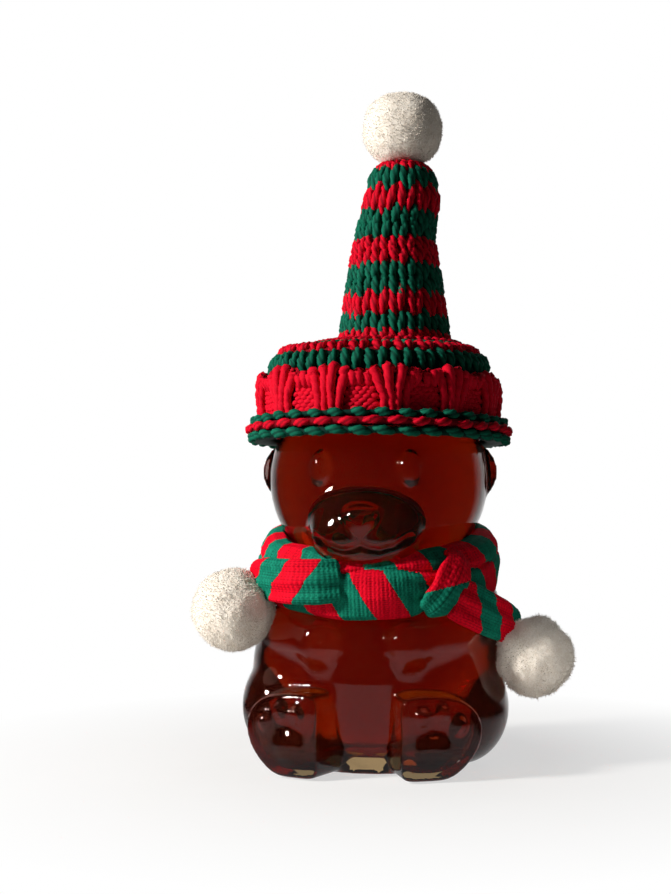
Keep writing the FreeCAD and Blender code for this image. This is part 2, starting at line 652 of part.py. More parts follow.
def on_scarf(azimuth, out, rise):
    """A point beside the band: degrees from the front, distance outside it and height along it."""
    turn = math.radians(azimuth)
    reach = SCARF_OUTER_RADIUS + out
    return scarf_frame().multVec(V(math.sin(turn) * reach, -math.cos(turn) * reach, rise))


def outward(azimuth):
    """Level direction away from the neck."""
    turn = math.radians(azimuth)
    return V(math.sin(turn), -math.cos(turn), 0)


def scarf_knot(mould):
    """Crossing of the two ends, a soft lump on the band's front right."""
    lump = ellipsoid(on_scarf(KNOT_AZIMUTH, -1, 0), KNOT_HALF_WIDTH, KNOT_RELIEF, KNOT_HALF_HEIGHT,
                     FreeCAD.Rotation(V(0, -1, 0), outward(KNOT_AZIMUTH)))
    return lump.cut(scarf_ring(PIECE_GAP)).cut(mould)


def lens(at, along, up, width):
    """Cross-section of a tail: two arcs that meet at the edges of the knitted strip."""
    normal = along.cross(up).normalize()
    high = at + up * (width / 2)
    low = at - up * (width / 2)
    front = Part.Arc(high, at + normal * (TAIL_THICKNESS / 2), low).toShape()
    back = Part.Arc(low, at - normal * (TAIL_THICKNESS / 2), high).toShape()
    return Part.Wire([front, back])


def tail_strip(points):
    """A knitted strip through points, as wide as the scarf at first and gathered at its end."""
    wires = []
    last = len(points) - 1
    for i, at in enumerate(points):
        along = points[min(i + 1, last)] - points[max(i - 1, 0)]
        up = V(0, 0, 1) - along * (along.z / along.dot(along))
        width = TAIL_WIDTH + (TAIL_END_WIDTH - TAIL_WIDTH) * (i / last) ** 3
        wires.append(lens(at, along.normalize(), up.normalize(), width))
    return Part.makeLoft(wires, True, False)


def left_tail_points():
    """Route of the left tail, over the band on the bear's right shoulder."""
    out = TAIL_THICKNESS / 2 + TAIL_GAP
    steps = [i / TAIL_STRIPES for i in range(TAIL_STRIPES + 1)]
    return [on_scarf(LEFT_ROOT_AZIMUTH + (LEFT_END_AZIMUTH - LEFT_ROOT_AZIMUTH) * t, out, LEFT_RISE)
            for t in steps]


def right_tail_points():
    """Route of the right tail, from the crossing down over the arm."""
    out = TAIL_THICKNESS / 2 + TAIL_GAP
    points = []
    for i in range(TAIL_STRIPES + 1):
        t = i / TAIL_STRIPES
        azimuth = RIGHT_ROOT_AZIMUTH + (RIGHT_END_AZIMUTH - RIGHT_ROOT_AZIMUTH) * t
        drop = RIGHT_ROOT_DROP + (RIGHT_END_DROP - RIGHT_ROOT_DROP) * t
        points.append(on_scarf(azimuth, out + (RIGHT_END_OUT - out) * t, -drop))
    return points


def striped_tail(points, ball, keep_clear):
    """A tail cut clear of its neighbours and across its length into stripes of two colours."""
    strip = tail_strip(points).cut([ball] + keep_clear)
    strip = max(strip.Solids, key=lambda solid: solid.Volume)
    along = (points[-1] - points[0]).normalize()
    colours = ([], [])
    for i in range(TAIL_STRIPES):
        stripe = strip
        if i > 0:
            stripe = stripe.common(half_space(points[i], along))
        if i < TAIL_STRIPES - 1:
            stripe = stripe.common(half_space(points[i + 1], along * -1))
        colours[i % 2].extend(stripe.Solids)
    return [Part.makeCompound(group) for group in colours]


def hang(end, side, front, radius):
    """Centre of a pompom that hangs from the end of a tail."""
    direction = V(side, -front, -math.sqrt(1 - side ** 2 - front ** 2))
    return end + direction * radius


def pompom_on(centre, end, radius, mould):
    """A pompom pressed against the bear, with a bore towards the end of its tail."""
    bore = Part.makeCylinder(TIE_RADIUS + TIE_CLEARANCE, FAR, centre, end - centre)
    ball = Part.makeSphere(radius, centre, end - centre)
    return ball.cut(mould).cut(scarf_ring(TAIL_GAP)).cut(bore)


def tie_between(centre, end, radius):
    """Bound yarn from the heart of a pompom to the end of its tail."""
    return Part.makeCylinder(TIE_RADIUS, radius - TIE_CLEARANCE, centre, end - centre)


def main():
    os.makedirs("parts", exist_ok=True)
    nodes = {}
    nodes["glass_bottle"] = glass_bottle()
    nodes["honey_fill"] = honey_fill()
    nodes["lid_shell"] = lid_shell()
    nodes["lid_gasket"] = lid_gasket()
    side_round = EDGE_OUTER_RADIUS - EDGE_MIDDLE_STEP
    nodes["hat_edge_lower_green"] = edge_round(0, side_round)
    nodes["hat_edge_middle_red"] = edge_round(1, EDGE_OUTER_RADIUS)
    nodes["hat_edge_upper_green"] = edge_round(2, side_round)
    nodes["hat_cuff_red"] = hat_cuff()
    dome = crown()
    colour_z = CROWN_TOP_Z - CROWN_COLOUR_BELOW_TOP
    nodes["hat_crown_green"] = dome.common(slab(0, colour_z))
    nodes["hat_crown_red"] = dome.common(slab(colour_z, FAR))
    nodes.update(spire_stripes())
    nodes["hat_gather_red"] = hat_gather()
    nodes["hat_pompom"] = hat_pompom()
    nodes["hat_pompom_tie"] = hat_pompom_tie()

    mould = bear_mould(SCARF_CLEARANCE)
    band = scarf_ring(0).cut(mould)
    nodes["scarf_wrap_red"], nodes["scarf_wrap_green"] = scarf_stripes(band)
    nodes["scarf_knot"] = scarf_knot(mould)
    ring = scarf_ring(TAIL_GAP)
    pivot = Part.makeSphere(KNOT_HALF_HEIGHT + TAIL_GAP, on_scarf(KNOT_AZIMUTH, -1, 0))

    points = left_tail_points()
    centre = hang(points[-1], LEFT_HANG_SIDE, LEFT_HANG_FRONT, LEFT_POMPOM_RADIUS)
    ball = Part.makeSphere(LEFT_POMPOM_RADIUS + PIECE_GAP, centre)
    stripes = striped_tail(points, ball, [mould, ring])
    nodes["scarf_left_tail_green"], nodes["scarf_left_tail_red"] = stripes
    nodes["scarf_left_pompom"] = pompom_on(centre, points[-1], LEFT_POMPOM_RADIUS, mould)
    nodes["scarf_left_tie"] = tie_between(centre, points[-1], LEFT_POMPOM_RADIUS)

    points = right_tail_points()
    centre = hang(points[-1], RIGHT_HANG_SIDE, RIGHT_HANG_FRONT, RIGHT_POMPOM_RADIUS)
    ball = Part.makeSphere(RIGHT_POMPOM_RADIUS + PIECE_GAP, centre)
    stripes = striped_tail(points, ball, [mould, ring, pivot])
    nodes["scarf_right_tail_red"], nodes["scarf_right_tail_green"] = stripes
    nodes["scarf_right_pompom"] = pompom_on(centre, points[-1], RIGHT_POMPOM_RADIUS, mould)
    nodes["scarf_right_tie"] = tie_between(centre, points[-1], RIGHT_POMPOM_RADIUS)
    for name, shape in nodes.items():
        shape.exportStep("parts/%s.step" % name)
        print(name, shape.isValid(), len(shape.Solids), round(shape.Volume))


main()
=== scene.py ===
# %% [markdown]
# # A honey bear bottle in a knitted hat and scarf
# The real object is a small glass bottle in the shape of a sitting bear, full of dark honey, with a
# hand-knitted hat over its lid and a striped scarf round its neck. The construction model gives every
# piece its place, so this lesson loads it first and then dresses each piece in glass, honey or yarn.

# %% Load the frame
import math

import bpy
import numpy as np
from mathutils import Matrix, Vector, noise


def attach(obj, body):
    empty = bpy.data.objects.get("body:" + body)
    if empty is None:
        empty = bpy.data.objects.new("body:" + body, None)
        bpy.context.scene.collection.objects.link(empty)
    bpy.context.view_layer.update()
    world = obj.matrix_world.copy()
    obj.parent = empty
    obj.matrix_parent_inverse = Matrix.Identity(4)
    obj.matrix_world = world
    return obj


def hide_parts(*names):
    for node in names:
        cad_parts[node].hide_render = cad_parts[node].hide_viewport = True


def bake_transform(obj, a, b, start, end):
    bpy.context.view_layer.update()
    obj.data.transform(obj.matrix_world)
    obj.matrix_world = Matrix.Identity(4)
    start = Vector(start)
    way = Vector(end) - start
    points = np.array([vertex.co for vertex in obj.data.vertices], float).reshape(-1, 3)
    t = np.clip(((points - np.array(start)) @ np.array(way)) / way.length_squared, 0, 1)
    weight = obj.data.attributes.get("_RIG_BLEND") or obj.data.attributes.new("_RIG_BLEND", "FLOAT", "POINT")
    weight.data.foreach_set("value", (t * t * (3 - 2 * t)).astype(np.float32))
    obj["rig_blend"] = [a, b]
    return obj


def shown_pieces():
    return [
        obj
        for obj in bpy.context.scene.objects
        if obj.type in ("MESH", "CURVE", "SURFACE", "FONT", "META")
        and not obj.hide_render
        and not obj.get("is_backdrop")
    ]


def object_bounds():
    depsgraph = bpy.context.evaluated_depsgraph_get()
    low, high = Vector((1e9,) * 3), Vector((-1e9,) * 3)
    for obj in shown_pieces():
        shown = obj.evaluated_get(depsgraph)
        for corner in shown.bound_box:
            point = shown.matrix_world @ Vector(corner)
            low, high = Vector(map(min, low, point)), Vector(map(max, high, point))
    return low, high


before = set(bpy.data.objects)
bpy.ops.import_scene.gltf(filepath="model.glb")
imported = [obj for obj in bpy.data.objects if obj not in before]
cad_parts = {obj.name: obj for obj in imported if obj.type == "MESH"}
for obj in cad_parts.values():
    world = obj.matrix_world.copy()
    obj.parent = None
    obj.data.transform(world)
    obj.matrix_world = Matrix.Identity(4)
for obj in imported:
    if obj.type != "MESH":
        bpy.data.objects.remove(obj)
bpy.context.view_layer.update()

MM = 0.001
chance = np.random.default_rng(11)

# %% [markdown]
# ## Camera
# The photograph looks at the bear a little from its left, level with its chin. A real photographer
# would stand about half a metre away with a short telephoto lens. The small shift keeps the verticals
# upright while the bear stands right of the middle, as it does in the picture.

# %% Camera
PICTURE_HEIGHT = 894
FOCAL_PIXELS = 1500
SHIFT_PIXELS = (-43.5, 33)
SENSOR = 36
LOOK_TURN = math.radians(8)
LOOK_FROM, LOOK_HEIGHT = 0.450, 0.083
bpy.ops.object.camera_add(
    location=(LOOK_FROM * math.sin(LOOK_TURN), -LOOK_FROM * math.cos(LOOK_TURN), LOOK_HEIGHT),
    rotation=(math.pi / 2, 0, LOOK_TURN))
camera = bpy.context.object
camera.data.lens = SENSOR * FOCAL_PIXELS / PICTURE_HEIGHT
camera.data.shift_x, camera.data.shift_y = (pixels / PICTURE_HEIGHT for pixels in SHIFT_PIXELS)
bpy.context.scene.camera = camera
print("lens", round(camera.data.lens, 1), "mm")

# %% [markdown]
# ## Working by hand
# Most pieces start as a primitive that is picked, shaped and finished with a modifier, as one does with
# the mouse. These few helpers do the picking, so that each later step reads like a list of actions.


# %% Helpers for picking and shaping
def work_on(piece):
    """Picks one piece and nothing else."""
    bpy.ops.object.select_all(action="DESELECT")
    piece.select_set(True)
    bpy.context.view_layer.objects.active = piece
    return piece


def settled(name):
    """The primitive that was just added, with its place moved into its mesh."""
    piece = work_on(bpy.context.object)
    bpy.ops.object.transform_apply(location=True, rotation=True, scale=True)
    piece.name = piece.data.name = name
    return piece


def modify(piece, kind, **settings):
    """Adds a modifier and applies it."""
    work_on(piece)
    step = piece.modifiers.new(kind, kind)
    for key, value in settings.items():
        setattr(step, key, value)
    bpy.ops.object.modifier_apply(modifier=step.name)


def joined(pieces, name):
    """Several pieces as one object."""
    work_on(pieces[0])
    for piece in pieces:
        piece.select_set(True)
    bpy.ops.object.join()
    pieces[0].name = pieces[0].data.name = name
    return pieces[0]


def places(piece):
    """Vertex places in millimetres."""
    flat = np.zeros(len(piece.data.vertices) * 3, np.float32)
    piece.data.vertices.foreach_get("co", flat)
    return flat.reshape(-1, 3).astype(float) / MM


def move_to(piece, co):
    """Puts every vertex at its new place, in millimetres."""
    piece.data.vertices.foreach_set("co", (co * MM).astype(np.float32).ravel())
    piece.data.update()


def outwards(piece):
    """Vertex normals."""
    flat = np.zeros(len(piece.data.vertices) * 3, np.float32)
    piece.data.vertex_normals.foreach_get("vector", flat)
    return flat.reshape(-1, 3).astype(float)


def edit(piece, select="SELECT"):
    """Enters edit mode with all or nothing selected."""
    work_on(piece)
    bpy.ops.object.mode_set(mode="EDIT")
    bpy.ops.mesh.select_all(action=select)


def done():
    """Leaves edit mode."""
    bpy.ops.object.mode_set(mode="OBJECT")


def weld(piece, gap=0.002):
    """Merges doubles and turns all faces outwards."""
    edit(piece)
    bpy.ops.mesh.remove_doubles(threshold=gap * MM)
    bpy.ops.mesh.normals_make_consistent(inside=False)
    done()


def dress(piece, finish, slot, body, *nodes):
    """Gives a finished piece its material, body and the nodes it stands for. The slot is not used."""
    if finish:
        piece.data.materials.clear()
        piece.data.materials.append(finish.material)
    work_on(piece)
    bpy.ops.object.shade_smooth()
    if body:
        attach(piece, body)
    if nodes:
        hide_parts(*nodes)
    print(piece.name, len(piece.data.polygons), "faces")


def unit(directions):
    """The same directions with a length of one."""
    return directions / np.linalg.norm(directions, axis=-1, keepdims=True)


# %% [markdown]
# ## Finishes as sums
# A finish is a small network of nodes. Here a socket can be used in a sum, so that a formula such as
# 1 - mask reads as it would on paper, and one method adds every other kind of node.


# %% Finishes
class Wire:
    """A socket of a finish that can take part in sums."""

    def __init__(self, finish, socket):
        self.finish = finish
        self.socket = socket

    def maths(self, operation, first, second):
        return self.finish.node("ShaderNodeMath", {"operation": operation}, {0: first, 1: second})

    def __add__(self, other):
        return self.maths("ADD", self, other)

    def __mul__(self, other):
        return self.maths("MULTIPLY", self, other)

    def __truediv__(self, other):
        return self.maths("DIVIDE", self, other)

    def __rsub__(self, other):
        return self.maths("SUBTRACT", other, self)

    __radd__ = __add__
    __rmul__ = __mul__


class Network:
    """A node tree that grows by naming nodes and what feeds them."""

    def __init__(self, tree):
        self.tree = tree

    def feed(self, node, sockets):
        for key, value in sockets.items():
            if isinstance(value, Wire):
                self.tree.links.new(value.socket, node.inputs[key])
            else:
                node.inputs[key].default_value = value

    def node(self, kind, settings=None, sockets=None, output=0):
        node = self.tree.nodes.new(kind)
        for key, value in (settings or {}).items():
            setattr(node, key, value)
        self.feed(node, sockets or {})
        return Wire(self, node.outputs[output])

    def place(self, scale=(1, 1, 1)):
        """Object coordinates, stretched."""
        raw = self.node("ShaderNodeTexCoord", output=3)
        return self.node("ShaderNodeMapping", {}, {"Vector": raw, "Scale": scale})

    def cloud(self, vector, scale, detail=3.0, roughness=0.55):
        return self.node("ShaderNodeTexNoise", {}, {"Vector": vector, "Scale": scale, "Detail": detail,
                                                   "Roughness": roughness})

    def between(self, value, low, high):
        """The value's way from low to high, as 0 to 1."""
        return self.node("ShaderNodeMapRange", {}, {"Value": value, "From Min": low, "From Max": high})

    def axis(self, vector, number):
        """One coordinate of a vector: 0 for x, 1 for y and 2 for z."""
        return self.node("ShaderNodeSeparateXYZ", {}, {0: vector}, number)

    def mix(self, share, first, second):
        return self.node("ShaderNodeMix", {"data_type": "RGBA"}, {0: share, 6: first, 7: second}, 2)


class Finish(Network):
    """A node material with its constants set on the shader's own sockets."""

    def __init__(self, name, constants):
        self.material = bpy.data.materials.new(name)
        self.material.use_nodes = True
        super().__init__(self.material.node_tree)
        self.shader = self.tree.nodes["Principled BSDF"]
        self.feed(self.shader, constants)

    def bump(self, height, strength, distance_mm):
        normal = self.node("ShaderNodeBump", {}, {"Strength": strength, "Distance": distance_mm * MM,
                                                  "Height": height})
        self.feed(self.shader, {"Normal": normal})


def paint(red, green, blue):
    """A colour as it is seen on a screen, from 0 to 255, for a socket."""
    def linear(v):
        v = v / 255
        return v / 12.92 if v <= 0.04045 else ((v + 0.055) / 1.055) ** 2.4
    return (linear(red), linear(green), linear(blue), 1.0)


# %% [markdown]
# ## Yarn, fluff and cloth finishes
# The hat yarn is acrylic: three tight plies with a slight sheen, streaked along its fibres. The grooves
# between plies and the linings behind the stitches are painted darker, as painted shade. Each length of
# yarn carries its own lay, a place in its cross-section and along its length, so that the streaks follow
# the twist. The fine knit of the scarf has no plies to see, so its fibres are a fine cloud, with painted
# shade in the low places of its knit, and the fluff of the pompoms is nearly white with creamy hollows.


# %% Yarn, fluff and cloth
def yarn_finish(name, deep, plain, bright):
    finish = Finish(name, {"Sheen Weight": 0.05, "Sheen Roughness": 0.5, "Sheen Tint": bright,
                           "Specular IOR Level": 0.08})
    lay = finish.node("ShaderNodeAttribute", {"attribute_name": "lay"}, output=1)
    times = {"operation": "MULTIPLY"}
    streaks, section = (finish.node("ShaderNodeVectorMath", times, {0: lay, 1: stretch})
                        for stretch in ((4.0, 4.0, 0.9), (1, 1, 0)))
    reach = finish.node("ShaderNodeVectorMath", {"operation": "LENGTH"}, {0: section}, 1)
    fibre = finish.cloud(streaks, 1.6, 4.0, 0.65)
    tone = finish.cloud(finish.place(), 160.0, 2.0)
    # Painted shade: where the lay reaches in from the crest of a ply, in the grooves between plies and on
    # the linings, the colour turns to the first, darkest one.
    crest = finish.between(reach, 0.73, 0.87)
    colour = finish.mix(finish.between(fibre * 0.7 + tone * 0.3, 0.36, 0.66), plain, bright)
    finish.feed(finish.shader, {"Base Color": finish.mix(crest, deep, colour),
                                "Roughness": 0.85 - fibre * 0.25})
    finish.bump(fibre + crest * 0.3, 0.55, 0.22)
    return finish


def cloth_finish(name, deep, plain, bright):
    finish = Finish(name, {"Sheen Weight": 0.06, "Sheen Roughness": 0.5, "Sheen Tint": bright,
                           "Specular IOR Level": 0.06})
    fuzz = finish.cloud(finish.place(), 2600.0, 3.0, 0.7)
    tone = finish.cloud(finish.place(), 420.0, 2.0)
    height = finish.node("ShaderNodeAttribute", {"attribute_name": "knit"}, output=2)
    colour = finish.mix(finish.between(fuzz * 0.6 + tone * 0.4, 0.38, 0.64), plain, bright)
    # Painted shade: the low places of the knit relief take the first, darkest colour.
    crest = finish.between(height, -0.2, 0.55)
    finish.feed(finish.shader, {"Base Color": finish.mix(crest, deep, colour),
                                "Roughness": 0.88 - fuzz * 0.25})
    finish.bump(fuzz, 0.5, 0.18)
    return finish


def fluff_finish(name, deep, plain, bright):
    finish = Finish(name, {"Sheen Weight": 0.3, "Sheen Roughness": 0.6, "Specular IOR Level": 0.15})
    clump = finish.cloud(finish.place(), 330.0, 3.0)
    fibre = finish.cloud(finish.place(), 2200.0, 2.0)
    colour = finish.mix(finish.between(clump, 0.35, 0.62), deep, plain)
    tips = finish.between(fibre, 0.40, 0.70)
    finish.feed(finish.shader, {"Base Color": finish.mix(tips, colour, bright),
                                "Roughness": 0.97 - fibre * 0.12})
    finish.bump(fibre, 0.15, 0.08)
    return finish


# The first colour of each yarn and cloth is painted shade, for ply grooves, linings and the low places of
# the knit.
RED_PAINTED_SHADE, RED, RED_BRIGHT = paint(112, 0, 18), paint(188, 0, 29), paint(224, 8, 43)
GREEN_PAINTED_SHADE, GREEN, GREEN_BRIGHT = paint(2, 44, 36), paint(4, 80, 62), paint(16, 112, 86)
red_yarn = yarn_finish("red_yarn", RED_PAINTED_SHADE, RED, RED_BRIGHT)
green_yarn = yarn_finish("green_yarn", GREEN_PAINTED_SHADE, GREEN, GREEN_BRIGHT)
red_cloth = cloth_finish("red_cloth", RED_PAINTED_SHADE, paint(222, 2, 32), paint(240, 12, 44))
green_cloth = cloth_finish("green_cloth", GREEN_PAINTED_SHADE, paint(10, 108, 87), paint(24, 140, 112))
CREAM_DEEP, CREAM, CREAM_BRIGHT = paint(228, 216, 200), paint(240, 231, 218), paint(248, 242, 233)
cream_fluff = fluff_finish("cream_fluff", CREAM_DEEP, CREAM, CREAM_BRIGHT)
YARNS = {"red": red_yarn, "green": green_yarn}
CLOTHS = {"red": red_cloth, "green": green_cloth}


def dress_in(finishes, piece, body, *nodes, colour=None):
    """Dresses a knitted piece in its colour, which the name of its first node tells."""
    colour = colour or ("red" if "red" in nodes[0] else "green")
    dress(piece, finishes[colour], colour + "_yarn", body, *nodes)


print("yarn and cloth finishes ready")

# %% [markdown]
# ## Glass, honey and lid finishes
# Blown glass is clear with a faint warm tint, olive where the base is thick, and its surface is never
# quite flat, so a slow cloud bends the highlights a little. Honey swallows blue first and then green: a
# thin layer is orange and a thick one nearly black. That comes from absorption inside the honey, not from
# a painted colour. Honey bends light almost as glass does, so where it wets the wall the join can't be
# seen: the wetted inside of the glass is clear, and the honey bends light only a little against it. The
# lid is gold-lacquered tin with fine scuffs, over a pale rubber ring.

# %% Glass, honey and lid finishes
GLASS_IOR = 1.48
CLEAR, CLEAREST, OLIVE = paint(250, 248, 240), paint(255, 254, 250), paint(116, 82, 38)
glass = Finish("clear_glass", {"Transmission Weight": 1.0, "IOR": GLASS_IOR})
ripple = glass.cloud(glass.place(), 55.0, 2.0)
smear = glass.cloud(glass.place((1, 1, 0.4)), 130.0, 4.0)
heel = 1 - glass.between(glass.axis(glass.place(), 2), 0.0050, 0.0075)
wall = glass.mix(smear, CLEAR, CLEAREST)
glass.feed(glass.shader, {"Base Color": glass.mix(heel, wall, OLIVE),
                          "Roughness": glass.between(smear, 0.3, 1.4) * 0.05})
glass.bump(ripple, 0.12, 1.0)

wet_glass = Finish("wet_glass", {"Alpha": 0.0, "IOR": GLASS_IOR})
film = wet_glass.cloud(wet_glass.place(), 55.0, 2.0)
wet_glass.feed(wet_glass.shader, {"Base Color": wet_glass.mix(film, CLEAR, CLEAREST)})

HONEY_TINT = (0.86, 0.60, 0.0, 1.0)
HONEY_DENSITY = 300.0
CLOUDINESS = 0.1
honey = Finish("honey", {"Transmission Weight": 1.0, "IOR": 1.01, "Base Color": (1, 1, 1, 1)})
swirl = honey.cloud(honey.place((1, 1, 0.5)), 60.0, 3.0)
honey.feed(honey.shader, {"Roughness": swirl * 0.02})
clear = Wire(honey, honey.shader.outputs[0])
cloudy = honey.node("ShaderNodeBsdfPrincipled", {},
                    {"Base Color": (0.5, 0.06, 0.02, 1), "Roughness": 1.0, "Specular IOR Level": 0.0})
murky = honey.node("ShaderNodeMixShader", {}, {0: CLOUDINESS, 1: clear, 2: cloudy})
honey.tree.links.new(murky.socket, honey.tree.nodes["Material Output"].inputs["Surface"])
depth = honey.node("ShaderNodeVolumeAbsorption", {}, {"Color": HONEY_TINT, "Density": HONEY_DENSITY})
honey.tree.links.new(depth.socket, honey.tree.nodes["Material Output"].inputs["Volume"])

lacquer = Finish("lid_lacquer", {"Metallic": 1.0, "Coat Weight": 0.6, "Coat Roughness": 0.15})
scuff = lacquer.cloud(lacquer.place((1, 6, 1)), 400.0, 4.0, 0.7)
gold = lacquer.mix(scuff, paint(196, 150, 62), paint(232, 190, 96))
lacquer.feed(lacquer.shader, {"Base Color": gold,
                              "Roughness": lacquer.between(scuff, 0.2, 0.9) * 0.3 + 0.14})
lacquer.bump(scuff, 0.08, 0.1)

rubber = Finish("gasket_rubber", {"Specular IOR Level": 0.3})
grain = rubber.cloud(rubber.place(), 1500.0)
pale = rubber.mix(grain, paint(214, 208, 190), paint(234, 230, 216))
rubber.feed(rubber.shader, {"Base Color": pale,
                            "Roughness": 0.9 - grain * 0.3})
rubber.bump(grain, 0.2, 0.05)
for node, finish in (("lid_shell", lacquer), ("lid_gasket", rubber)):
    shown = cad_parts[node]
    shown.data.materials.clear()
    shown.data.materials.append(finish.material)
print("glass, honey and lid finishes ready")

# %% [markdown]
# ## Glass bear
# A blown bear has no sharp joins: every limb flows into the body. It could be sculpted in one piece, but
# round primitives keep each limb where the construction model has it. Eggs and a few shaped blocks are
# joined, a voxel remesh melts them into one skin, and smoothing rounds the joins as hot glass does.


# %% Round parts of the bear
def egg(centre, halves, turn=(0, 0, 0)):
    """An egg shape with its half sizes in millimetres."""
    bpy.ops.mesh.primitive_uv_sphere_add(segments=64, ring_count=32, radius=MM,
                                         location=[v * MM for v in centre], rotation=turn, scale=halves)
    return settled("egg")


def both(centre, halves, turn=(0, 0, 0)):
    """An egg and its mirror image on the other side of the bear."""
    x, y, z = centre
    return [egg(centre, halves, turn), egg((-x, y, z), halves, (turn[0], -turn[1], -turn[2]))]


def drum(radius, low, high):
    """An upright cylinder about the middle of the bear."""
    bpy.ops.mesh.primitive_cylinder_add(vertices=96, radius=radius * MM, depth=(high - low) * MM,
                                        location=(0, 0, (low + high) / 2 * MM))
    return settled("drum")


WALL = 2.6
FOOT = {"depth": 22.0, "turn": math.radians(22), "side": 21.5, "front": 37.0, "middle": 12.7}


def grown(halves, grow):
    """Half sizes that are all larger, or smaller, by the same amount."""
    return [half + grow for half in halves]


def trunk(grow):
    """Torso, neck, head, muzzle bridge, heel of the bottle and thighs, grown or shrunk."""
    parts = [egg((0, 0, 27), grown((38, 32, 34.8), grow)), drum(23.2 + grow, 27, 83),
             egg((0, 0, 83), grown((32.7, 31, 31), grow)), egg((0, -25, 71), grown((13.5, 12, 10), grow)),
             egg((0, -9.5, 5), grown((22, 18.3, 16), grow))]
    return parts + both((24.9, -8, 16.9), grown((14.5, 20, 16.6), grow))


forearm_turn = (0, -math.atan2(4, math.hypot(22, 20.5)), math.atan2(20.5, 22))
limbs = both((28.9, 0, 45), (7.5, 10, 10.5)) + both((22, -20.25, 39), (18.5, 6.8, 7.4), forearm_turn)
limbs += both((12.5, -29.6, 37), (6.6, 4.6, 7.0))


def snout(grow):
    """Muzzle and cheeks of the mouth, grown or shrunk."""
    parts = [egg((0, -23.5, 69.6), grown((17.2, 15.2, 12.6), grow))]
    return parts + both((6.0, -28.2, 67.4), grown((9.6, 9.8, 8.4), grow))


muzzle = snout(0) + [egg((0, -25.5, 62), (10.5, 10.2, 5.8))]
face = both((12.7, -28.2, 86.2), (3.5, 2.6, 5.2), (0, 0, 0.42))
nose = egg((0, -36.2, 71.6), (6.4, 3.2, 4.6))
co = places(nose)
co[:, 0] *= 0.45 + 0.62 * (co[:, 2] - 67.0) / 9.2
move_to(nose, co)
face.append(nose)
ears = both((26, 0, 85.4), (9.5, 2.9, 9.5))
print("limbs", len(limbs), "muzzle", len(muzzle), "face", len(face))


# %% [markdown]
# ### Feet
# Each foot is an upright block with a flat sole, a straight inner edge and rounded corners, turned a
# little outwards. A disc is drawn out to the outline of the sole, extruded and bevelled, and four low
# eggs make the pads.

# %% Feet
def on_foot(piece, side):
    """Takes a part from a sole's own axes, across, up and out, to the bear's left or right foot."""
    across, up, out = places(piece).T
    turn, out = FOOT["turn"], out - FOOT["depth"]
    x = FOOT["side"] + across * math.cos(turn) + out * math.sin(turn)
    y = -FOOT["front"] + across * math.sin(turn) - out * math.cos(turn)
    move_to(piece, np.stack([x * side, y, up + FOOT["middle"]], 1))
    weld(piece)
    return piece


SOLE = [(-10, -9.5), (-10, 0), (-10, 8.2), (-8.2, 10.9), (-2, 11.3), (5, 10.4), (10, 7.8), (12.6, 4),
        (13, -0.5), (11.3, -5), (7.6, -9.4), (3, -12), (-3.5, -12.4), (-8.6, -12)]


def smooth_loop(keys, steps):
    """A closed curve through the keys."""
    keys = np.array(keys, float)
    t = np.linspace(0, 1, steps, endpoint=False)[:, None]
    run = []
    for a, b, c, d in zip(np.roll(keys, 1, 0), keys, np.roll(keys, -1, 0), np.roll(keys, -2, 0)):
        run.append(b + 0.5 * t * (c - a + t * (2 * a - 5 * b + 4 * c - d + t * (3 * (b - c) + d - a))))
    return np.concatenate(run)


def foot_block(inset, back, front, rounding):
    """A block with the outline of the sole, drawn in by an inset, from one distance to another."""
    outline = smooth_loop(SOLE, 5)
    way = np.roll(outline, -1, 0) - np.roll(outline, 1, 0)
    inward = np.column_stack([way[:, 1], -way[:, 0]]) / np.linalg.norm(way, axis=1)[:, None]
    outline = outline + inset * inward
    bpy.ops.mesh.primitive_circle_add(vertices=len(outline), radius=MM, fill_type="NGON")
    block = settled("foot")
    move_to(block, np.column_stack([outline, np.full(len(outline), back)]))
    edit(block)
    bpy.ops.mesh.extrude_region_move(TRANSFORM_OT_translate={"value": (0, 0, (front - back) * MM)})
    done()
    modify(block, "BEVEL", width=rounding * MM, segments=4, limit_method="ANGLE",
           angle_limit=math.radians(50))
    return block


TOE, PAD = (2.3, 2.7, 2.4), (4.5, 4.6, 1.2)
PADS = [(-4.6, 5.5, TOE), (0.9, 6.2, TOE), (6.0, 3.0, TOE), (-1.6, -4.0, PAD)]
feet = []
for side in (1, -1):
    feet.append(on_foot(foot_block(0, 0, FOOT["depth"], 3.0), side))
    feet += [on_foot(egg((across, up, FOOT["depth"]), halves), side) for across, up, halves in PADS]
print("feet", len(feet), "parts")

# %% [markdown]
# ### One skin of glass
# The big forms are melted together first and smoothed well, so that the muzzle and the arms grow out of
# the body. The small ones, such as the nose, eyes and pads, are melted on afterwards and stay crisp. The
# base is pressed flat on the table, and the smile and the gaps between the fingers are soft grooves, as
# the mould leaves them.

# %% One skin of glass
mouth_rim = [drum(25.2, 83, 115)]
LUG_ARC, LUG_RISE, LUG_Z = 50.0, 1.67, 109.5
LUG_ROOT, LUG_SIZE = 24.4, 1.7


def lug(quarter):
    """One sloped thread ridge, drawn round the mouth out of a block."""
    bpy.ops.mesh.primitive_cube_add(size=2 * MM)
    ridge = settled("lug")
    edit(ridge)
    bpy.ops.mesh.subdivide(number_cuts=19)
    done()
    along, out, up = (places(ridge) + 1).T / 2
    turn = np.radians(90 * quarter + LUG_ARC * along)
    radius = LUG_ROOT + out * LUG_SIZE * np.clip(np.minimum(along, 1 - along) / 0.1, 0.5, 1)
    height = LUG_Z + LUG_RISE * along + up * (LUG_SIZE - 0.9 * out)
    move_to(ridge, np.stack([radius * np.cos(turn), radius * np.sin(turn), height], 1))
    weld(ridge)
    return ridge


def melt(piece, voxel):
    """Melts joined parts into one skin."""
    modify(piece, "REMESH", mode="VOXEL", voxel_size=voxel * MM)


def soften(piece, rounds, group=""):
    """Rounds a skin, or only what a vertex group holds."""
    modify(piece, "SMOOTH", factor=0.5, iterations=rounds, vertex_group=group)


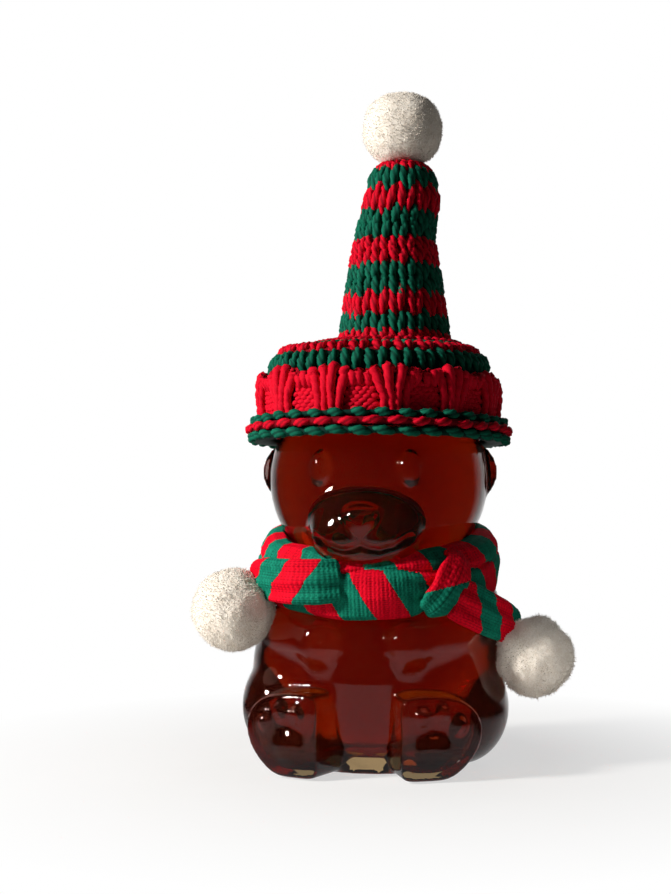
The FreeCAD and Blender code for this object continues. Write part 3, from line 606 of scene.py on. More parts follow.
lugs = [lug(quarter) for quarter in range(4)]
SKIN = 0.8
bear = joined(trunk(0) + limbs + muzzle, "glass_bear")
melt(bear, SKIN)
soften(bear, 34)
MUZZLE_MIDDLE, MUZZLE_REACH = (0, -27, 69), (24, 19, 19)
away = np.linalg.norm((places(bear) - MUZZLE_MIDDLE) / MUZZLE_REACH, axis=1)
soft = bear.vertex_groups.new(name="soft_muzzle")
for share in range(1, 11):
    soft.add(np.flatnonzero(away < 1.3 - 0.05 * share).tolist(), share / 10, "REPLACE")
soften(bear, 115, soft.name)
bear = joined([bear] + face + ears + feet + mouth_rim + lugs, "glass_bear")
melt(bear, SKIN)
co = places(bear)
co[:, 2] = np.maximum(co[:, 2], 0)
move_to(bear, co)
soften(bear, 4)

HALF_SMILE = [(1.6, 63.9), (5, 63.2), (9.5, 64.5), (13.5, 67.0)]
SMILE = [(-x, z) for x, z in reversed(HALF_SMILE)] + [(0, 65.0)] + HALF_SMILE
FAR = 99.0
FRONT_Y = -24
FINGER_GAPS = [[(side * 5, z), (side * 12.5, z + 0.4)] for side in (1, -1) for z in (33.6, 37, 40.4)]


def groove(lines, width, deep):
    """Presses lines of (x, z) points into the front of the bear."""
    co, out = places(bear), outwards(bear)
    seen = co[:, [0, 2]]
    miss = np.full(len(co), FAR)
    for line in lines:
        line = np.array(line)
        for start, end in zip(line, line[1:]):
            way = end - start
            share = np.clip((seen - start) @ way / (way @ way), 0, 1)
            miss = np.minimum(miss, np.linalg.norm(seen - start - share[:, None] * way, axis=1))
    miss[co[:, 1] > FRONT_Y] = FAR
    move_to(bear, co - out * (deep * np.exp(-(miss / width) ** 2))[:, None])


groove([SMILE], 0.9, 0.9)
groove(FINGER_GAPS, 1.1, 0.25)
TABLE = 0.12
co = places(bear)
co[:, 2] = np.where(co[:, 2] < TABLE, 0, co[:, 2])
move_to(bear, co)
print("bear", len(bear.data.polygons), "faces")

# %% [markdown]
# ### Hollow and honey
# The wall of a blown bottle is a few millimetres thick and thickest at the base. A solidify modifier
# could give it, but the honey needs the same inner shape, so the inside is melted from smaller copies of
# the same round parts. A boolean takes it out of the glass through the mouth, and the honey is a copy cut
# off at its level. It reaches a hair into the wall, because two faces in one place would flicker.

# %% Hollow and honey
BASE, HONEY_LEVEL, INTO_GLASS = 4.5, 102.0, 0.3
hollow_parts = trunk(-WALL) + snout(-1.5 * WALL)
hollow_parts += [egg((0, -25.5, 62.8), (8, 7.4, 4.2)), drum(21.6, 83, 118)]
for part in hollow_parts:
    co = places(part)
    co[:, 2] = np.maximum(co[:, 2], BASE)
    move_to(part, co)
hollow_parts += [on_foot(foot_block(2.3, -4, FOOT["depth"] - WALL, 1.8), side) for side in (1, -1)]
hollow = joined(hollow_parts, "hollow")
melt(hollow, 1.5 * SKIN)
soften(hollow, 8)
work_on(hollow)
bpy.ops.object.duplicate()
honey_body = bpy.context.object
for piece in (bear, hollow):
    piece.data.materials.append(glass.material)
    piece.data.materials.append(wet_glass.material)
for face in hollow.data.polygons:
    face.material_index = 1 if face.center.z < HONEY_LEVEL * MM else 0
modify(bear, "BOOLEAN", operation="DIFFERENCE", object=hollow, solver="MANIFOLD")
bpy.data.objects.remove(hollow)

move_to(honey_body, places(honey_body) + INTO_GLASS * outwards(honey_body))
edit(honey_body)
bpy.ops.mesh.bisect(plane_co=(0, 0, HONEY_LEVEL * MM), plane_no=(0, 0, 1), use_fill=True,
                    clear_outer=True)
done()
honey_body.name = honey_body.data.name = "honey_body"
wetted = sum(face.material_index for face in bear.data.polygons)
print("wetted faces", wetted, "of", len(bear.data.polygons))
dress(bear, None, "clear_glass", "bottle", "glass_bottle")
dress(honey_body, honey, "honey", "bottle", "honey_fill")

# %% [markdown]
# ## A length of yarn
# Every stitch of the hat shows short lengths of the same yarn. One length is modelled by hand: a circle
# is pinched into plies, then extruded ring by ring while it turns and swells. Copies of it are bent along
# the run of each stitch, which keeps the twist that a smooth tube would lose.


# %% A length of yarn
class YarnLength:
    """A modelled length along Z from 0 to 1, about one unit thick on each side of its middle."""

    def __init__(self, sides, plies, swell, turn, pinch=0.76):
        bpy.ops.mesh.primitive_circle_add(vertices=sides, radius=1, fill_type="NGON")
        piece = settled("yarn_length")
        self.rings = len(swell)
        if plies:
            step = sides // plies
            for v in piece.data.vertices:
                if v.index % step == 0:
                    v.co *= pinch
        edit(piece)
        bpy.ops.transform.resize(value=(swell[0], swell[0], 1), center_override=(0, 0, 0))
        for ring in range(1, self.rings):
            height = ring / (self.rings - 1)
            bpy.ops.mesh.extrude_region_move(
                TRANSFORM_OT_translate={"value": (0, 0, 1 / (self.rings - 1))})
            grow = swell[ring] / swell[ring - 1]
            bpy.ops.transform.resize(value=(grow, grow, 1), center_override=(0, 0, height))
        bpy.ops.mesh.select_all(action="SELECT")
        bpy.ops.mesh.normals_make_consistent(inside=False)
        done()
        straight = np.array([v.co for v in piece.data.vertices])
        self.ring = np.rint(straight[:, 2] * (self.rings - 1)).astype(int)
        size = np.array(swell)[self.ring]
        self.lay = np.stack([straight[:, 0] / size, straight[:, 1] / size, straight[:, 2]], 1)
        spin = turn * straight[:, 2]
        self.x = straight[:, 0] * np.cos(spin) - straight[:, 1] * np.sin(spin)
        self.y = straight[:, 0] * np.sin(spin) + straight[:, 1] * np.cos(spin)
        self.corners = [list(p.vertices) for p in piece.data.polygons]
        bpy.data.objects.remove(piece)


def keep_lay(mesh, lay):
    """Stores the lay of the yarn with a mesh, for the finish."""
    note = mesh.attributes.new("lay", "FLOAT_VECTOR", "POINT")
    note.data.foreach_set("vector", lay.astype(np.float32).ravel())


def laid(name, yarn, runs, outward, thick):
    """Copies of a yarn length, each bent along its own run of points, in millimetres."""
    count, points = len(runs), len(yarn.x)
    along = unit(np.gradient(runs, axis=1))
    up = unit(outward - (outward * along).sum(2, keepdims=True) * along)
    side = np.cross(along, up)
    thick = np.broadcast_to(np.asarray(thick, float), (count, 2)) * chance.normal(1, 0.05, (count, 1))
    co = (runs[:, yarn.ring] + side[:, yarn.ring] * (yarn.x * thick[:, :1])[..., None]
          + up[:, yarn.ring] * (yarn.y * thick[:, 1:])[..., None])
    loops = np.concatenate(yarn.corners)
    sizes = np.array([len(c) for c in yarn.corners])
    mesh = bpy.data.meshes.new(name)
    mesh.vertices.add(count * points)
    mesh.vertices.foreach_set("co", (co * MM).astype(np.float32).ravel())
    every = (loops + points * np.arange(count)[:, None]).ravel().astype(np.int32)
    mesh.loops.add(len(every))
    mesh.loops.foreach_set("vertex_index", every)
    starts = np.concatenate([[0], np.cumsum(np.tile(sizes, count))[:-1]]).astype(np.int32)
    mesh.polygons.add(len(starts))
    mesh.polygons.foreach_set("loop_start", starts)
    mesh.update(calc_edges=True)
    length = np.linalg.norm(np.diff(runs, axis=1), axis=2).sum(1) / thick[:, 0]
    lay = np.broadcast_to(yarn.lay, (count, points, 3)).copy()
    lay[..., 2] = lay[..., 2] * length[:, None] + chance.uniform(0, 90, (count, 1))
    keep_lay(mesh, lay)
    piece = bpy.data.objects.new(name, mesh)
    bpy.context.scene.collection.objects.link(piece)
    return piece


THREE_PLY = YarnLength(9, 3, [0.62, 0.92, 1.0, 1.04, 1.0, 0.92, 0.62], math.radians(250))
BUMP = YarnLength(9, 3, [0.3, 0.72, 0.96, 1.05, 0.96, 0.72, 0.3], math.radians(230))
FIBRE = YarnLength(3, 0, [1.0, 0.8, 0.25], 0)
print("a stitch leg has", len(THREE_PLY.corners), "faces, a fibre", len(FIBRE.corners))


# %% [markdown]
# ## Rounds of knitting
# A hat is knitted in rounds. Seen flat, a profile says how wide each round is and how high it sits, and a
# stitch is a V of two legs on it: its foot comes out from under the round below and its top goes behind
# the round above. A plain lining behind the stitches is the inside of the fabric.


# %% Rounds of knitting
class Rounds:
    """A knitted surface: way along the fabric, sideways offset, radius and height, in millimetres."""

    def __init__(self, rows):
        table = np.array(rows, float)
        steps = np.linalg.norm(np.diff(table[:, 1:], axis=0), axis=1)
        self.way = np.concatenate([[0], np.cumsum(steps)])
        self.offset, self.radius, self.height = table.T
        self.length = self.way[-1]

    def at(self, angle, way, lift):
        """Points and outward directions; the angle is from the front towards +X."""
        def of(values, way=way):
            return np.interp(way, self.way, values)

        offset, radius, height = of(self.offset), of(self.radius), of(self.height)
        ahead = np.clip(way + 0.5, 0, self.length)
        behind = np.clip(way - 0.5, 0, self.length)
        out = of(self.height, ahead) - of(self.height, behind)
        rise = of(self.radius, behind) - of(self.radius, ahead)
        size = np.hypot(out, rise)
        out, rise = out / size, rise / size
        normal = np.stack([out * np.sin(angle), -out * np.cos(angle), rise], -1)
        base = np.stack([offset + radius * np.sin(angle), -radius * np.cos(angle), height], -1)
        return base + normal * np.asarray(lift)[..., None], normal


def stitches(rounds, low, rise, count, yarn, thick, lift, turn=0.0, spread=(0.10, 0.36), loose=1.0):
    """Runs of both legs of each V stitch in one round that starts at a way along the fabric."""
    t = np.linspace(0, 1, yarn.rings)
    number = np.repeat(np.arange(count), 2)
    side = np.tile([-1.0, 1.0], count)
    wobble = chance.normal(0, 0.022 * loose, (2, 2 * count))
    step = 2 * math.pi / count
    # A leg starts near the middle of its stitch, under the round below, and ends behind the one above.
    aside = (spread[0] + (spread[1] - spread[0]) * t ** 0.8) * side[:, None]
    angle = (number[:, None] + 0.5 + aside + wobble[0][:, None]) * step + turn
    way = low + rise * (-0.22 + 1.62 * t + wobble[1][:, None] * 4)
    bulge = lift + thick * (np.sin(math.pi * np.clip(t * 1.04, 0, 1)) ** 0.6 - 1)
    return rounds.at(angle, way, np.broadcast_to(bulge, angle.shape))


def bumps(rounds, middle, count, yarn, length, slant, lift, turn=0.0, arch=0.6):
    """Runs of purl bumps: short level lengths that lie across the round."""
    t = np.linspace(-1, 1, yarn.rings)
    radius = np.interp(middle, rounds.way, rounds.radius)
    number = np.arange(count)[:, None] + chance.normal(0, 0.03, (count, 1))
    angle = number * 2 * math.pi / count + turn + t * length / 2 / radius
    way = middle + t * slant + chance.normal(0, 0.15, (count, 1))
    dip = lift - arch * np.abs(t) ** 2.2
    return rounds.at(angle, way, np.broadcast_to(dip, angle.shape))


def lining(name, stations, segments=72):
    """A closed ring of fabric from a list of (offset, radius, height), ring by ring."""
    offset, radius, height = stations[0]
    bpy.ops.mesh.primitive_circle_add(vertices=segments, radius=radius * MM,
                                      location=(offset * MM, 0, height * MM))
    ring = settled(name)
    edit(ring)
    closed = stations[1:] + stations[:1]
    for (x0, r0, z0), (x1, r1, z1) in zip(stations, closed):
        bpy.ops.mesh.extrude_region_move(
            TRANSFORM_OT_translate={"value": ((x1 - x0) * MM, 0, (z1 - z0) * MM)})
        bpy.ops.transform.resize(value=(r1 / r0, r1 / r0, 1), center_override=(x1 * MM, 0, z1 * MM))
    done()
    weld(ring)
    co = places(ring)
    turn = np.arctan2(co[:, 1], co[:, 0]) * 60
    # A reach of 0.4 puts the whole lining in painted shade, the darkest colour of its yarn.
    lay = np.stack([0.4 * np.cos(turn), 0.4 * np.sin(turn), co[:, 2] * 3], 1)
    keep_lay(ring.data, lay)
    return ring


def knitted(name, yarn, groups, backing=()):
    """One piece out of groups of (runs, outward directions, thickness) and its linings."""
    made = [laid(name, yarn, runs, out, thick) for (runs, out), thick in groups]
    return joined(made + list(backing), name)


# %% [markdown]
# ## Spire of the hat
# The spire is a tapering tube of plain knitting, two rounds of each colour, closed by a gathered round
# under the pompom. It leans a little and bends halfway up, so its stripes follow the bend smoothly
# instead of breaking at one line.

# %% Spire of the hat
FOOT_Z, SPIRE_HEIGHT = 122.8, 52.6
SPIRE_SECTIONS = [(-0.08, 17.6, 0), (0, 17.4, 0), (0.16, 16.0, 0), (0.42, 14.1, 0), (0.62, 12.2, 0),
                  (0.84, 11.5, 2.2), (0.95, 10.4, 2.4), (0.99, 9.4, 2.4), (1.025, 7.8, 2.4),
                  (1.05, 5.6, 2.4), (1.055, 3.6, 2.4)]
SPIRE_X = 4.7
spire = Rounds([(SPIRE_X + lean, radius, FOOT_Z + share * SPIRE_HEIGHT)
                for share, radius, lean in SPIRE_SECTIONS])
STRIPES = [("hat_spire_red_foot", 0.0, 0.067, 1, 19), ("hat_spire_green_low", 0.067, 0.160, 1, 18),
           ("hat_spire_red_low", 0.160, 0.278, 1, 17), ("hat_spire_green_middle", 0.278, 0.449, 2, 16),
           ("hat_spire_red_middle", 0.449, 0.593, 2, 14), ("hat_tip_green_low", 0.593, 0.751, 2, 13),
           ("hat_tip_red", 0.751, 0.882, 1, 12), ("hat_tip_green_high", 0.882, 1.0, 1, 12),
           ("hat_gather_red", 1.0, 1.045, 1, 10)]
SPIRE_YARN = 1.36
SPIRE_LINING = 0.9
BEND_X, BEND_LOW, BEND_HIGH = 0.0047, 0.1474 - 0.009, 0.1474 + 0.009


def spire_at(share):
    """Offset, radius and height of the lining at a share of the spire's height."""
    z = FOOT_Z + share * SPIRE_HEIGHT
    offset, radius = (np.interp(z, spire.height, v) for v in (spire.offset, spire.radius))
    return offset, max(radius - 1.5, 2.9), z


for node, low, high, rounds_in, count in STRIPES:
    way_low, way_high = (np.interp(FOOT_Z + share * SPIRE_HEIGHT, spire.height, spire.way)
                         for share in (low, high))
    rise = (way_high - way_low) / rounds_in
    groups = []
    for k in range(rounds_in):
        runs = stitches(spire, way_low + k * rise, max(rise, 3.4), count, THREE_PLY, SPIRE_YARN,
                        -SPIRE_YARN * 0.75, 0.2 * len(groups), (0.13, 0.33), 1.4)
        groups.append((runs, (SPIRE_YARN, SPIRE_YARN)))
    outer = [spire_at(low + (high - low) * k / 3) for k in range(4)]
    inner = [(x, r - SPIRE_LINING, z) for x, r, z in reversed(outer)]
    piece = knitted(node + "_knit", THREE_PLY, groups, [lining(node, outer + inner)])
    dress_in(YARNS, piece, None, node)
    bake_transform(piece, "hat", "hat_tip", (BEND_X, 0, BEND_LOW), (BEND_X, 0, BEND_HIGH))

# %% [markdown]
# ## Crown
# The crown is a flat drum over the lid. Its side is one round of tall green stitches, and the top closes
# in towards the spire in red rounds with one dark green round between them.

# %% Crown
crown = Rounds([(0, 32.6, 111.0), (0, 32.7, 116.5), (0, 31.6, 119.6), (0, 29.4, 121.6), (0, 26.6, 122.6),
                (2.4, 22.0, 123.6), (4.7, 17.6, 124.6)])
green_rounds = [(stitches(crown, 3.4, 5.0, 28, THREE_PLY, 1.4, -0.5, 0, (0.16, 0.30)), (1.42, 1.4)),
                (stitches(crown, 15.2, 2.6, 26, THREE_PLY, 1.2, -0.9, 0.1), (1.25, 1.2))]
red_rounds = [(stitches(crown, 10.8, 3.2, 28, THREE_PLY, 1.3, -0.5, 0.05), (1.35, 1.3)),
              (stitches(crown, 18.6, 3.2, 22, THREE_PLY, 1.3, -0.6, 0.2), (1.35, 1.3))]
side = lining("crown_side", [(0, 31.2, 112.0), (0, 31.4, 117.0), (0, 30.4, 119.4), (0, 29.0, 118.6),
                             (0, 29.7, 116.0), (0, 29.7, 112.0)])
top = lining("crown_top", [(0, 30.4, 119.5), (0, 28.4, 120.8), (0, 26.0, 121.5), (4.4, 17.8, 123.6),
                           (4.6, 16.4, 122.6), (0, 26.0, 120.2), (0, 28.6, 119.2)])
piece = knitted("hat_crown_green_knit", THREE_PLY, green_rounds, [side])
dress_in(YARNS, piece, "hat", "hat_crown_green")
piece = knitted("hat_crown_red_knit", THREE_PLY, red_rounds, [top])
dress_in(YARNS, piece, "hat", "hat_crown_red")

# %% [markdown]
# ## Ribbed cuff
# The cuff is a wide rib in a soft yarn. Four plump cords of knit stitches stand out, fan apart upwards
# and roll over the top in a lobe, and the purl stitches between them lie back in low wavy ridges. Every
# cord is one length of yarn bent along its own way up the cuff, so no two ribs are quite alike.

# %% Ribbed cuff
CUFF_Z = 98.0
cuff = Rounds([(0, 35.8, CUFF_Z), (0, 36.4, 103.0), (0, 36.7, 108.5), (0, 36.5, 112.0), (0, 35.9, 114.2),
               (0, 34.9, 115.2), (0, 33.9, 114.6), (0, 33.5, 112.5)])
RIBS = 12
RIB = 2 * math.pi / RIBS
RIB_TURN = math.radians(15)
CUFF_RADIUS = 36.4
FRONT_RISE = 3.0
SIDE_DROP = 0.06
cord_swell = [(0.92 + 0.75 * max(k / 24 - 0.3, 0) ** 1.3) * (1 + 0.06 * math.sin(1.7 * k))
              for k in range(25)]
CORD = YarnLength(10, 2, [0.5] + cord_swell + [0.6], math.radians(620), 0.84)
LOOP = YarnLength(10, 2, [0.3, 0.75, 0.95, 1.05, 1.1, 1.05, 0.95, 0.7], math.radians(200), 0.84)
RIDGE = YarnLength(8, 0, [0.35, 0.85, 1.0, 0.85, 0.35], 0)


def front_up(points):
    """Lifts what lies low in front, where the edge of the hat is pushed up over the eyes."""
    turn = np.arctan2(points[..., 0], -points[..., 1])
    low = np.clip((108 - points[..., 2]) / 10, 0, 1)
    raised = points.copy()
    raised[..., 2] += FRONT_RISE * low * ((1 + np.cos(turn)) / 2) ** 1.5
    return raised


def on_cuff(middle, aside, way, lift, tall):
    """Runs up the cuff at millimetres aside from each rib's middle, scaled to their height."""
    turn = (np.arange(RIBS)[:, None] + middle) * RIB + RIB_TURN + aside / CUFF_RADIUS
    points, out = cuff.at(turn, np.broadcast_to(way, turn.shape), np.broadcast_to(lift, turn.shape))
    tall = tall * (1 - SIDE_DROP * (1 - np.cos(turn)))
    points[..., 2] = CUFF_Z + (points[..., 2] - CUFF_Z) * tall
    return front_up(points), out


rib_shift = chance.normal(0, 0.5, (RIBS, 1))
rib_width = 1 + chance.normal(0, 0.08, (RIBS, 1))
rib_tall = 1 + chance.normal(0, 0.022, (RIBS, 1))
made = []

# Cords of the ribs
t = np.linspace(0, 1, CORD.rings)
fan = 1 + 0.75 * np.clip((t - 0.3) / 0.45, 0, 1) ** 1.4
for column in (-3, -1, 1, 3):
    wave = 0.3 * np.sin(t * 6 + chance.uniform(0, 6.3, (RIBS, 1)))
    aside = column * fan * rib_width + wave + rib_shift
    lift = -1.15 + (0.35 if abs(column) == 1 else 0) + chance.normal(0, 0.15, (RIBS, 1)) + 0 * t
    runs, out = on_cuff(0, aside, t * cuff.length, lift, rib_tall * (1 - 0.006 * column ** 2))
    made.append(laid("cords", CORD, runs, out, (1.3, 1.15)))

# Loops that close the top between the ribs
t = np.linspace(0, 1, LOOP.rings)
for column in (-2.4, 0, 2.4):
    aside = column * (1 - 0.2 * t) + chance.normal(0, 0.3, (RIBS, 1)) + rib_shift
    way = cuff.length * (0.56 + 0.44 * t)
    lift = -2.1 + 0.9 * np.clip(t / 0.4, 0, 1) + chance.normal(0, 0.12, (RIBS, 1))
    tall = 0.965 - 0.012 * abs(column) + chance.normal(0, 0.012, (RIBS, 1))
    runs, out = on_cuff(0.5, aside, way, lift, tall)
    made.append(laid("loops", LOOP, runs, out, (1.6, 1.3)))

# Purl ridges between the ribs
t = np.linspace(-1, 1, RIDGE.rings)
for row in range(8):
    low = 1.2 + 1.55 * row
    squeeze = 1 - 0.42 * max(low / cuff.length - 0.3, 0) / 0.45
    for number, column in enumerate((-3.9, -1.3, 1.3, 3.9)):
        aside = (column + 0.65 * (-1) ** row) * squeeze + 1.75 * squeeze * t + rib_shift
        way = low + 0.5 * (-1) ** number * t + chance.normal(0, 0.15, (RIBS, 1))
        runs, out = on_cuff(0.5, aside, way, -2.4 - 0.4 * t ** 2, 1)
        made.append(laid("ridges", RIDGE, runs, out, (0.9, 0.8)))

# Inside of the cuff
inside = lining("cuff_lining", [(0, 35.2, 95.6), (0, 34.8, 98.0), (0, 33.6, 102.0), (0, 33.2, 109.0),
                                (0, 32.9, 112.6), (0, 32.2, 113.6), (0, 30.4, 113.0), (0, 30.2, 100.5),
                                (0, 29.9, 98.8), (0, 32.9, 95.2)], 112)
move_to(inside, front_up(places(inside)))
piece = joined(made + [inside], "hat_cuff_knit")
dress_in(YARNS, piece, "hat", "hat_cuff_red")

# %% [markdown]
# ## Braided edge
# The hat starts with three rounds of purl bumps that look like a braid: slanted green ones below and
# above, and red ones between them, half a stitch along. Each bump is one plump length of the thick yarn.

# %% Braided edge
EDGE_STITCHES = 35
EDGE_STEP = 2 * math.pi / EDGE_STITCHES
EDGE_HALF = 3.0
EDGE_ROUNDS = [("hat_edge_lower_green", 38.3, 93.9, 6.6, -0.7, 0.0, 1.45),
               ("hat_edge_middle_red", 39.0, 96.5, 6.2, 0.3, 0.5, 1.3),
               ("hat_edge_upper_green", 37.6, 99.1, 5.3, -0.6, 0.0, 1.45)]
for node, radius, z, length, slant, shift, thick in EDGE_ROUNDS:
    edge = Rounds([(0, radius, z - EDGE_HALF), (0, radius, z + EDGE_HALF)])
    points, out = bumps(edge, EDGE_HALF, EDGE_STITCHES, BUMP, length, slant, -0.2, shift * EDGE_STEP, 0.9)
    deep = radius - 32.4 if node == "hat_edge_lower_green" else 2.4
    back = lining(node, [(0, radius - 0.7, z - 1.0), (0, radius - 0.4, z), (0, radius - 0.7, z + 1.0),
                         (0, radius - deep, z + 0.8), (0, radius - deep, z - 0.8)])
    move_to(back, front_up(places(back)))
    piece = knitted(node + "_knit", BUMP, [((front_up(points), out), (thick, thick))], [back])
    dress_in(YARNS, piece, "hat", node)

# %% [markdown]
# ## Pompoms
# A pompom is a bundle of cut wool, felted into a soft ball. A ball with a thousand curls could be grown
# with particles, but short bent fibres on a lumpy core hold their shape in every program. The fibres
# start inside the core, lean at random and taper to nothing.


# %% Pompoms
FIBRES = 9000


def fluffy(node, centre, halves, body, shag, seed, square=2.0):
    """A felted ball: a lumpy core and short fibres all over it."""
    name = node + "_fluff"
    draw = np.random.default_rng(seed)
    centre, halves = np.array(centre), np.array(halves)
    bpy.ops.mesh.primitive_ico_sphere_add(subdivisions=5, radius=MM)
    core = settled(name + "_core")

    def surface(way):
        lump = np.array([noise.noise(Vector(d * 2.2) + Vector((seed, 0, 0))) for d in way])
        small = np.array([noise.noise(Vector(d * 7.0) + Vector((0, seed, 0))) for d in way])
        boxy = (np.abs(way) ** square).sum(1) ** (-1 / square)
        size = boxy * (1 + shag * (0.05 * lump + 0.022 * small))
        return size[:, None] * way * (halves - 0.7) + centre

    move_to(core, surface(unit(places(core))))
    index = np.arange(FIBRES) + 0.5
    polar, turn = np.arccos(1 - 2 * index / FIBRES), math.pi * (1 + 5 ** 0.5) * index
    way = np.stack([np.cos(turn) * np.sin(polar), np.sin(turn) * np.sin(polar), np.cos(polar)], 1)
    way = unit(way + draw.normal(0, 0.02, way.shape))
    root = surface(way) - way * 0.3
    lean = unit(way + draw.normal(0, 0.5, way.shape))
    curl = unit(way + draw.normal(0, 0.75, way.shape))
    length = draw.uniform(0.45, 0.75 + 0.45 * shag, (FIBRES, 1))
    runs = np.stack([root, root + lean * length * 0.55, root + (lean * 0.45 + curl * 0.55) * length], 1)
    side = np.cross(way, draw.normal(0, 1, way.shape))
    hair = laid(name, FIBRE, runs, np.repeat(side[:, None], 3, 1), (0.09, 0.09))
    piece = joined([core, hair], name)
    dress(piece, cream_fluff, "cream_yarn", body, node)


LEFT_BALL, RIGHT_BALL = (-39.04, -23.41, 45.58), (46.74, -7.74, 31.66)
fluffy("hat_pompom", (7.1, 0, 187.7), (12.2, 12.0, 11.3), "hat_tip", 0.7, 3, 2.35)
fluffy("scarf_left_pompom", LEFT_BALL, (12.4, 12.2, 12.4), "left_tail", 1.0, 5)
fluffy("scarf_right_pompom", RIGHT_BALL, (11.8, 11.8, 12.0), "right_tail", 1.8, 8)


# %% [markdown]
# ### Ties
# Inside each pompom a few tight turns of yarn bind the wool and sew it to the knitting. They are hidden,
# but they are real pieces, so each is a bundle wound from the same yarn.

# %% Ties
TIE_RADIUS, TIE_YARN = 2.4, 0.8
TIE_LENGTHS = 18


def tie(node, start, end, body):
    """Six turns of yarn from start to end, three lengths to a turn."""
    start, end = np.array(start), np.array(end)
    way = unit(end - start)
    side = unit(np.cross(way, (0.3, 0.9, 0.1)))
    other = np.cross(way, side)
    t = np.linspace(0, 1, THREE_PLY.rings)
    runs, outs = [], []
    for k in range(TIE_LENGTHS):
        angle = (k + t) * 2 * math.pi / 3
        ring = np.cos(angle)[:, None] * side + np.sin(angle)[:, None] * other
        share = (k + t) / TIE_LENGTHS
        runs.append(start + (end - start) * share[:, None] + ring * (TIE_RADIUS - TIE_YARN))
        outs.append(ring)
    piece = laid(node + "_yarn", THREE_PLY, np.array(runs), np.array(outs), (TIE_YARN, TIE_YARN))
    dress(piece, cream_fluff, "cream_yarn", body, node)


tie("hat_pompom_tie", (7.1, 0, 172.6), (7.1, 0, 183.4), "hat_tip")

# %% [markdown]
# ## Scarf
# The scarf is a narrow machine-knitted strip with slanted stripes. It goes round the neck low in front
# and high behind, crosses on one side and hangs in two tails. Its stitches are only a millimetre wide, so
# they are pressed into a fine grid as real height, and the strip is then pushed off the glass where it
# would cut in.

# %% Scarf strip
SCARF_MIDDLE = np.array((0, 0, 57.6))
SCARF_TILT = math.radians(12)


def on_scarf(turn, reach, rise):
    """A point of the tilted band: angle from the front, distance from its axis and height along it."""
    x, y = np.sin(turn) * reach, -np.cos(turn) * reach
    c, s = math.cos(SCARF_TILT), math.sin(SCARF_TILT)
    return np.stack([x, y * c - rise * s, y * s + rise * c], -1) + SCARF_MIDDLE


WALE, COURSE, RELIEF = 1.45, 1.15, 0.42
CLOTH_GAP = 0.35


def fine_knit(along, across):
    """Height of fine plain knitting, 0 to 1: two slanted legs in each column of stitches."""
    column = across / WALE
    leg = np.abs(np.sin(2 * math.pi * column))
    lean = np.where(np.floor(column * 2) % 2 == 0, 1, -1) * (column * 2 % 1 - 0.5)
    step = 0.5 + 0.5 * np.cos(2 * math.pi * (along / COURSE + 0.55 * lean))
    return leg ** 0.6 * (0.35 + 0.65 * step)


def strip(name, length_steps, round_steps, shape):
    """A tube of cloth bent from a grid and pushed off the glass.

    For shares along and round, shape gives places, the height of the knit and the number of the stripe.
    """
    bpy.ops.mesh.primitive_grid_add(x_subdivisions=length_steps, y_subdivisions=round_steps,
                                    size=2 * MM)
    piece = settled(name)
    share = (places(piece)[:, :2] + 1) / 2
    co, height, stripe = shape(share[:, 0], share[:, 1])
    move_to(piece, co)
    corners = np.array([face.vertices[:] for face in piece.data.polygons])
    red = np.floor(stripe[corners].mean(1)) % 2 == 0
    notes = piece.data.attributes
    notes.new("red", "BOOLEAN", "FACE").data.foreach_set("value", red)
    notes.new("knit", "FLOAT", "POINT").data.foreach_set("value", height.astype(np.float32))
    weld(piece, 0.004)
    modify(piece, "SHRINKWRAP", target=bear, wrap_mode="OUTSIDE", offset=CLOTH_GAP * MM)
    return piece


def split_colours(piece, red_name, green_name):
    """Separates the red faces from the green ones and closes all cut ends."""
    red = np.zeros(len(piece.data.polygons), bool)
    piece.data.attributes["red"].data.foreach_get("value", red)
    edit(piece, "DESELECT")
    bpy.ops.mesh.select_mode(type="FACE")
    done()
    piece.data.polygons.foreach_set("select", red)
    bpy.ops.object.mode_set(mode="EDIT")
    bpy.ops.mesh.separate(type="SELECTED")
    done()
    other = [o for o in bpy.context.selected_objects if o != piece][0]
    piece.name, other.name = green_name, red_name
    for part in (piece, other):
        edit(part)
        bpy.ops.mesh.fill_holes(sides=0)
        bpy.ops.mesh.select_mode(type="VERT")
        done()
    return other, piece


# %% [markdown]
# ### Band round the neck
# The strip goes round the neck twice, so the band shows a lower and an upper turn with a crease between
# them, and their stripes don't meet. In front the lower turn covers nearly all of the upper one. A curve
# with a bevel could carry it, but a grid bent into a tube keeps the stitches in even rows. Each colour
# becomes a piece of its own, as in the construction model.

# %% Band round the neck
BAND_RADIUS = 35.5
BAND_STRIPES = 22
STRIPE_WIDTH = BAND_RADIUS * 2 * math.pi / BAND_STRIPES
STRIPE_START = math.radians(0.4) * BAND_RADIUS
STRIPE_SLANT = math.tan(math.radians(30))
UPPER_SHIFT = 5.5
KNOT_TURN = math.radians(40)
SECTION = np.array([(0, 31.5, -6.2), (0.05, 33.2, -7.2), (0.12, 35.2, -5.6), (0.28, 36.2, 0),
                    (0.42, 35.4, 5.0), (0.50, 33.6, 7.2), (0.56, 31.4, 8.2), (0.64, 28.2, 8.4),
                    (0.74, 25.0, 6.5), (0.95, 25.0, -4.0), (1.0, 31.5, -6.2)])


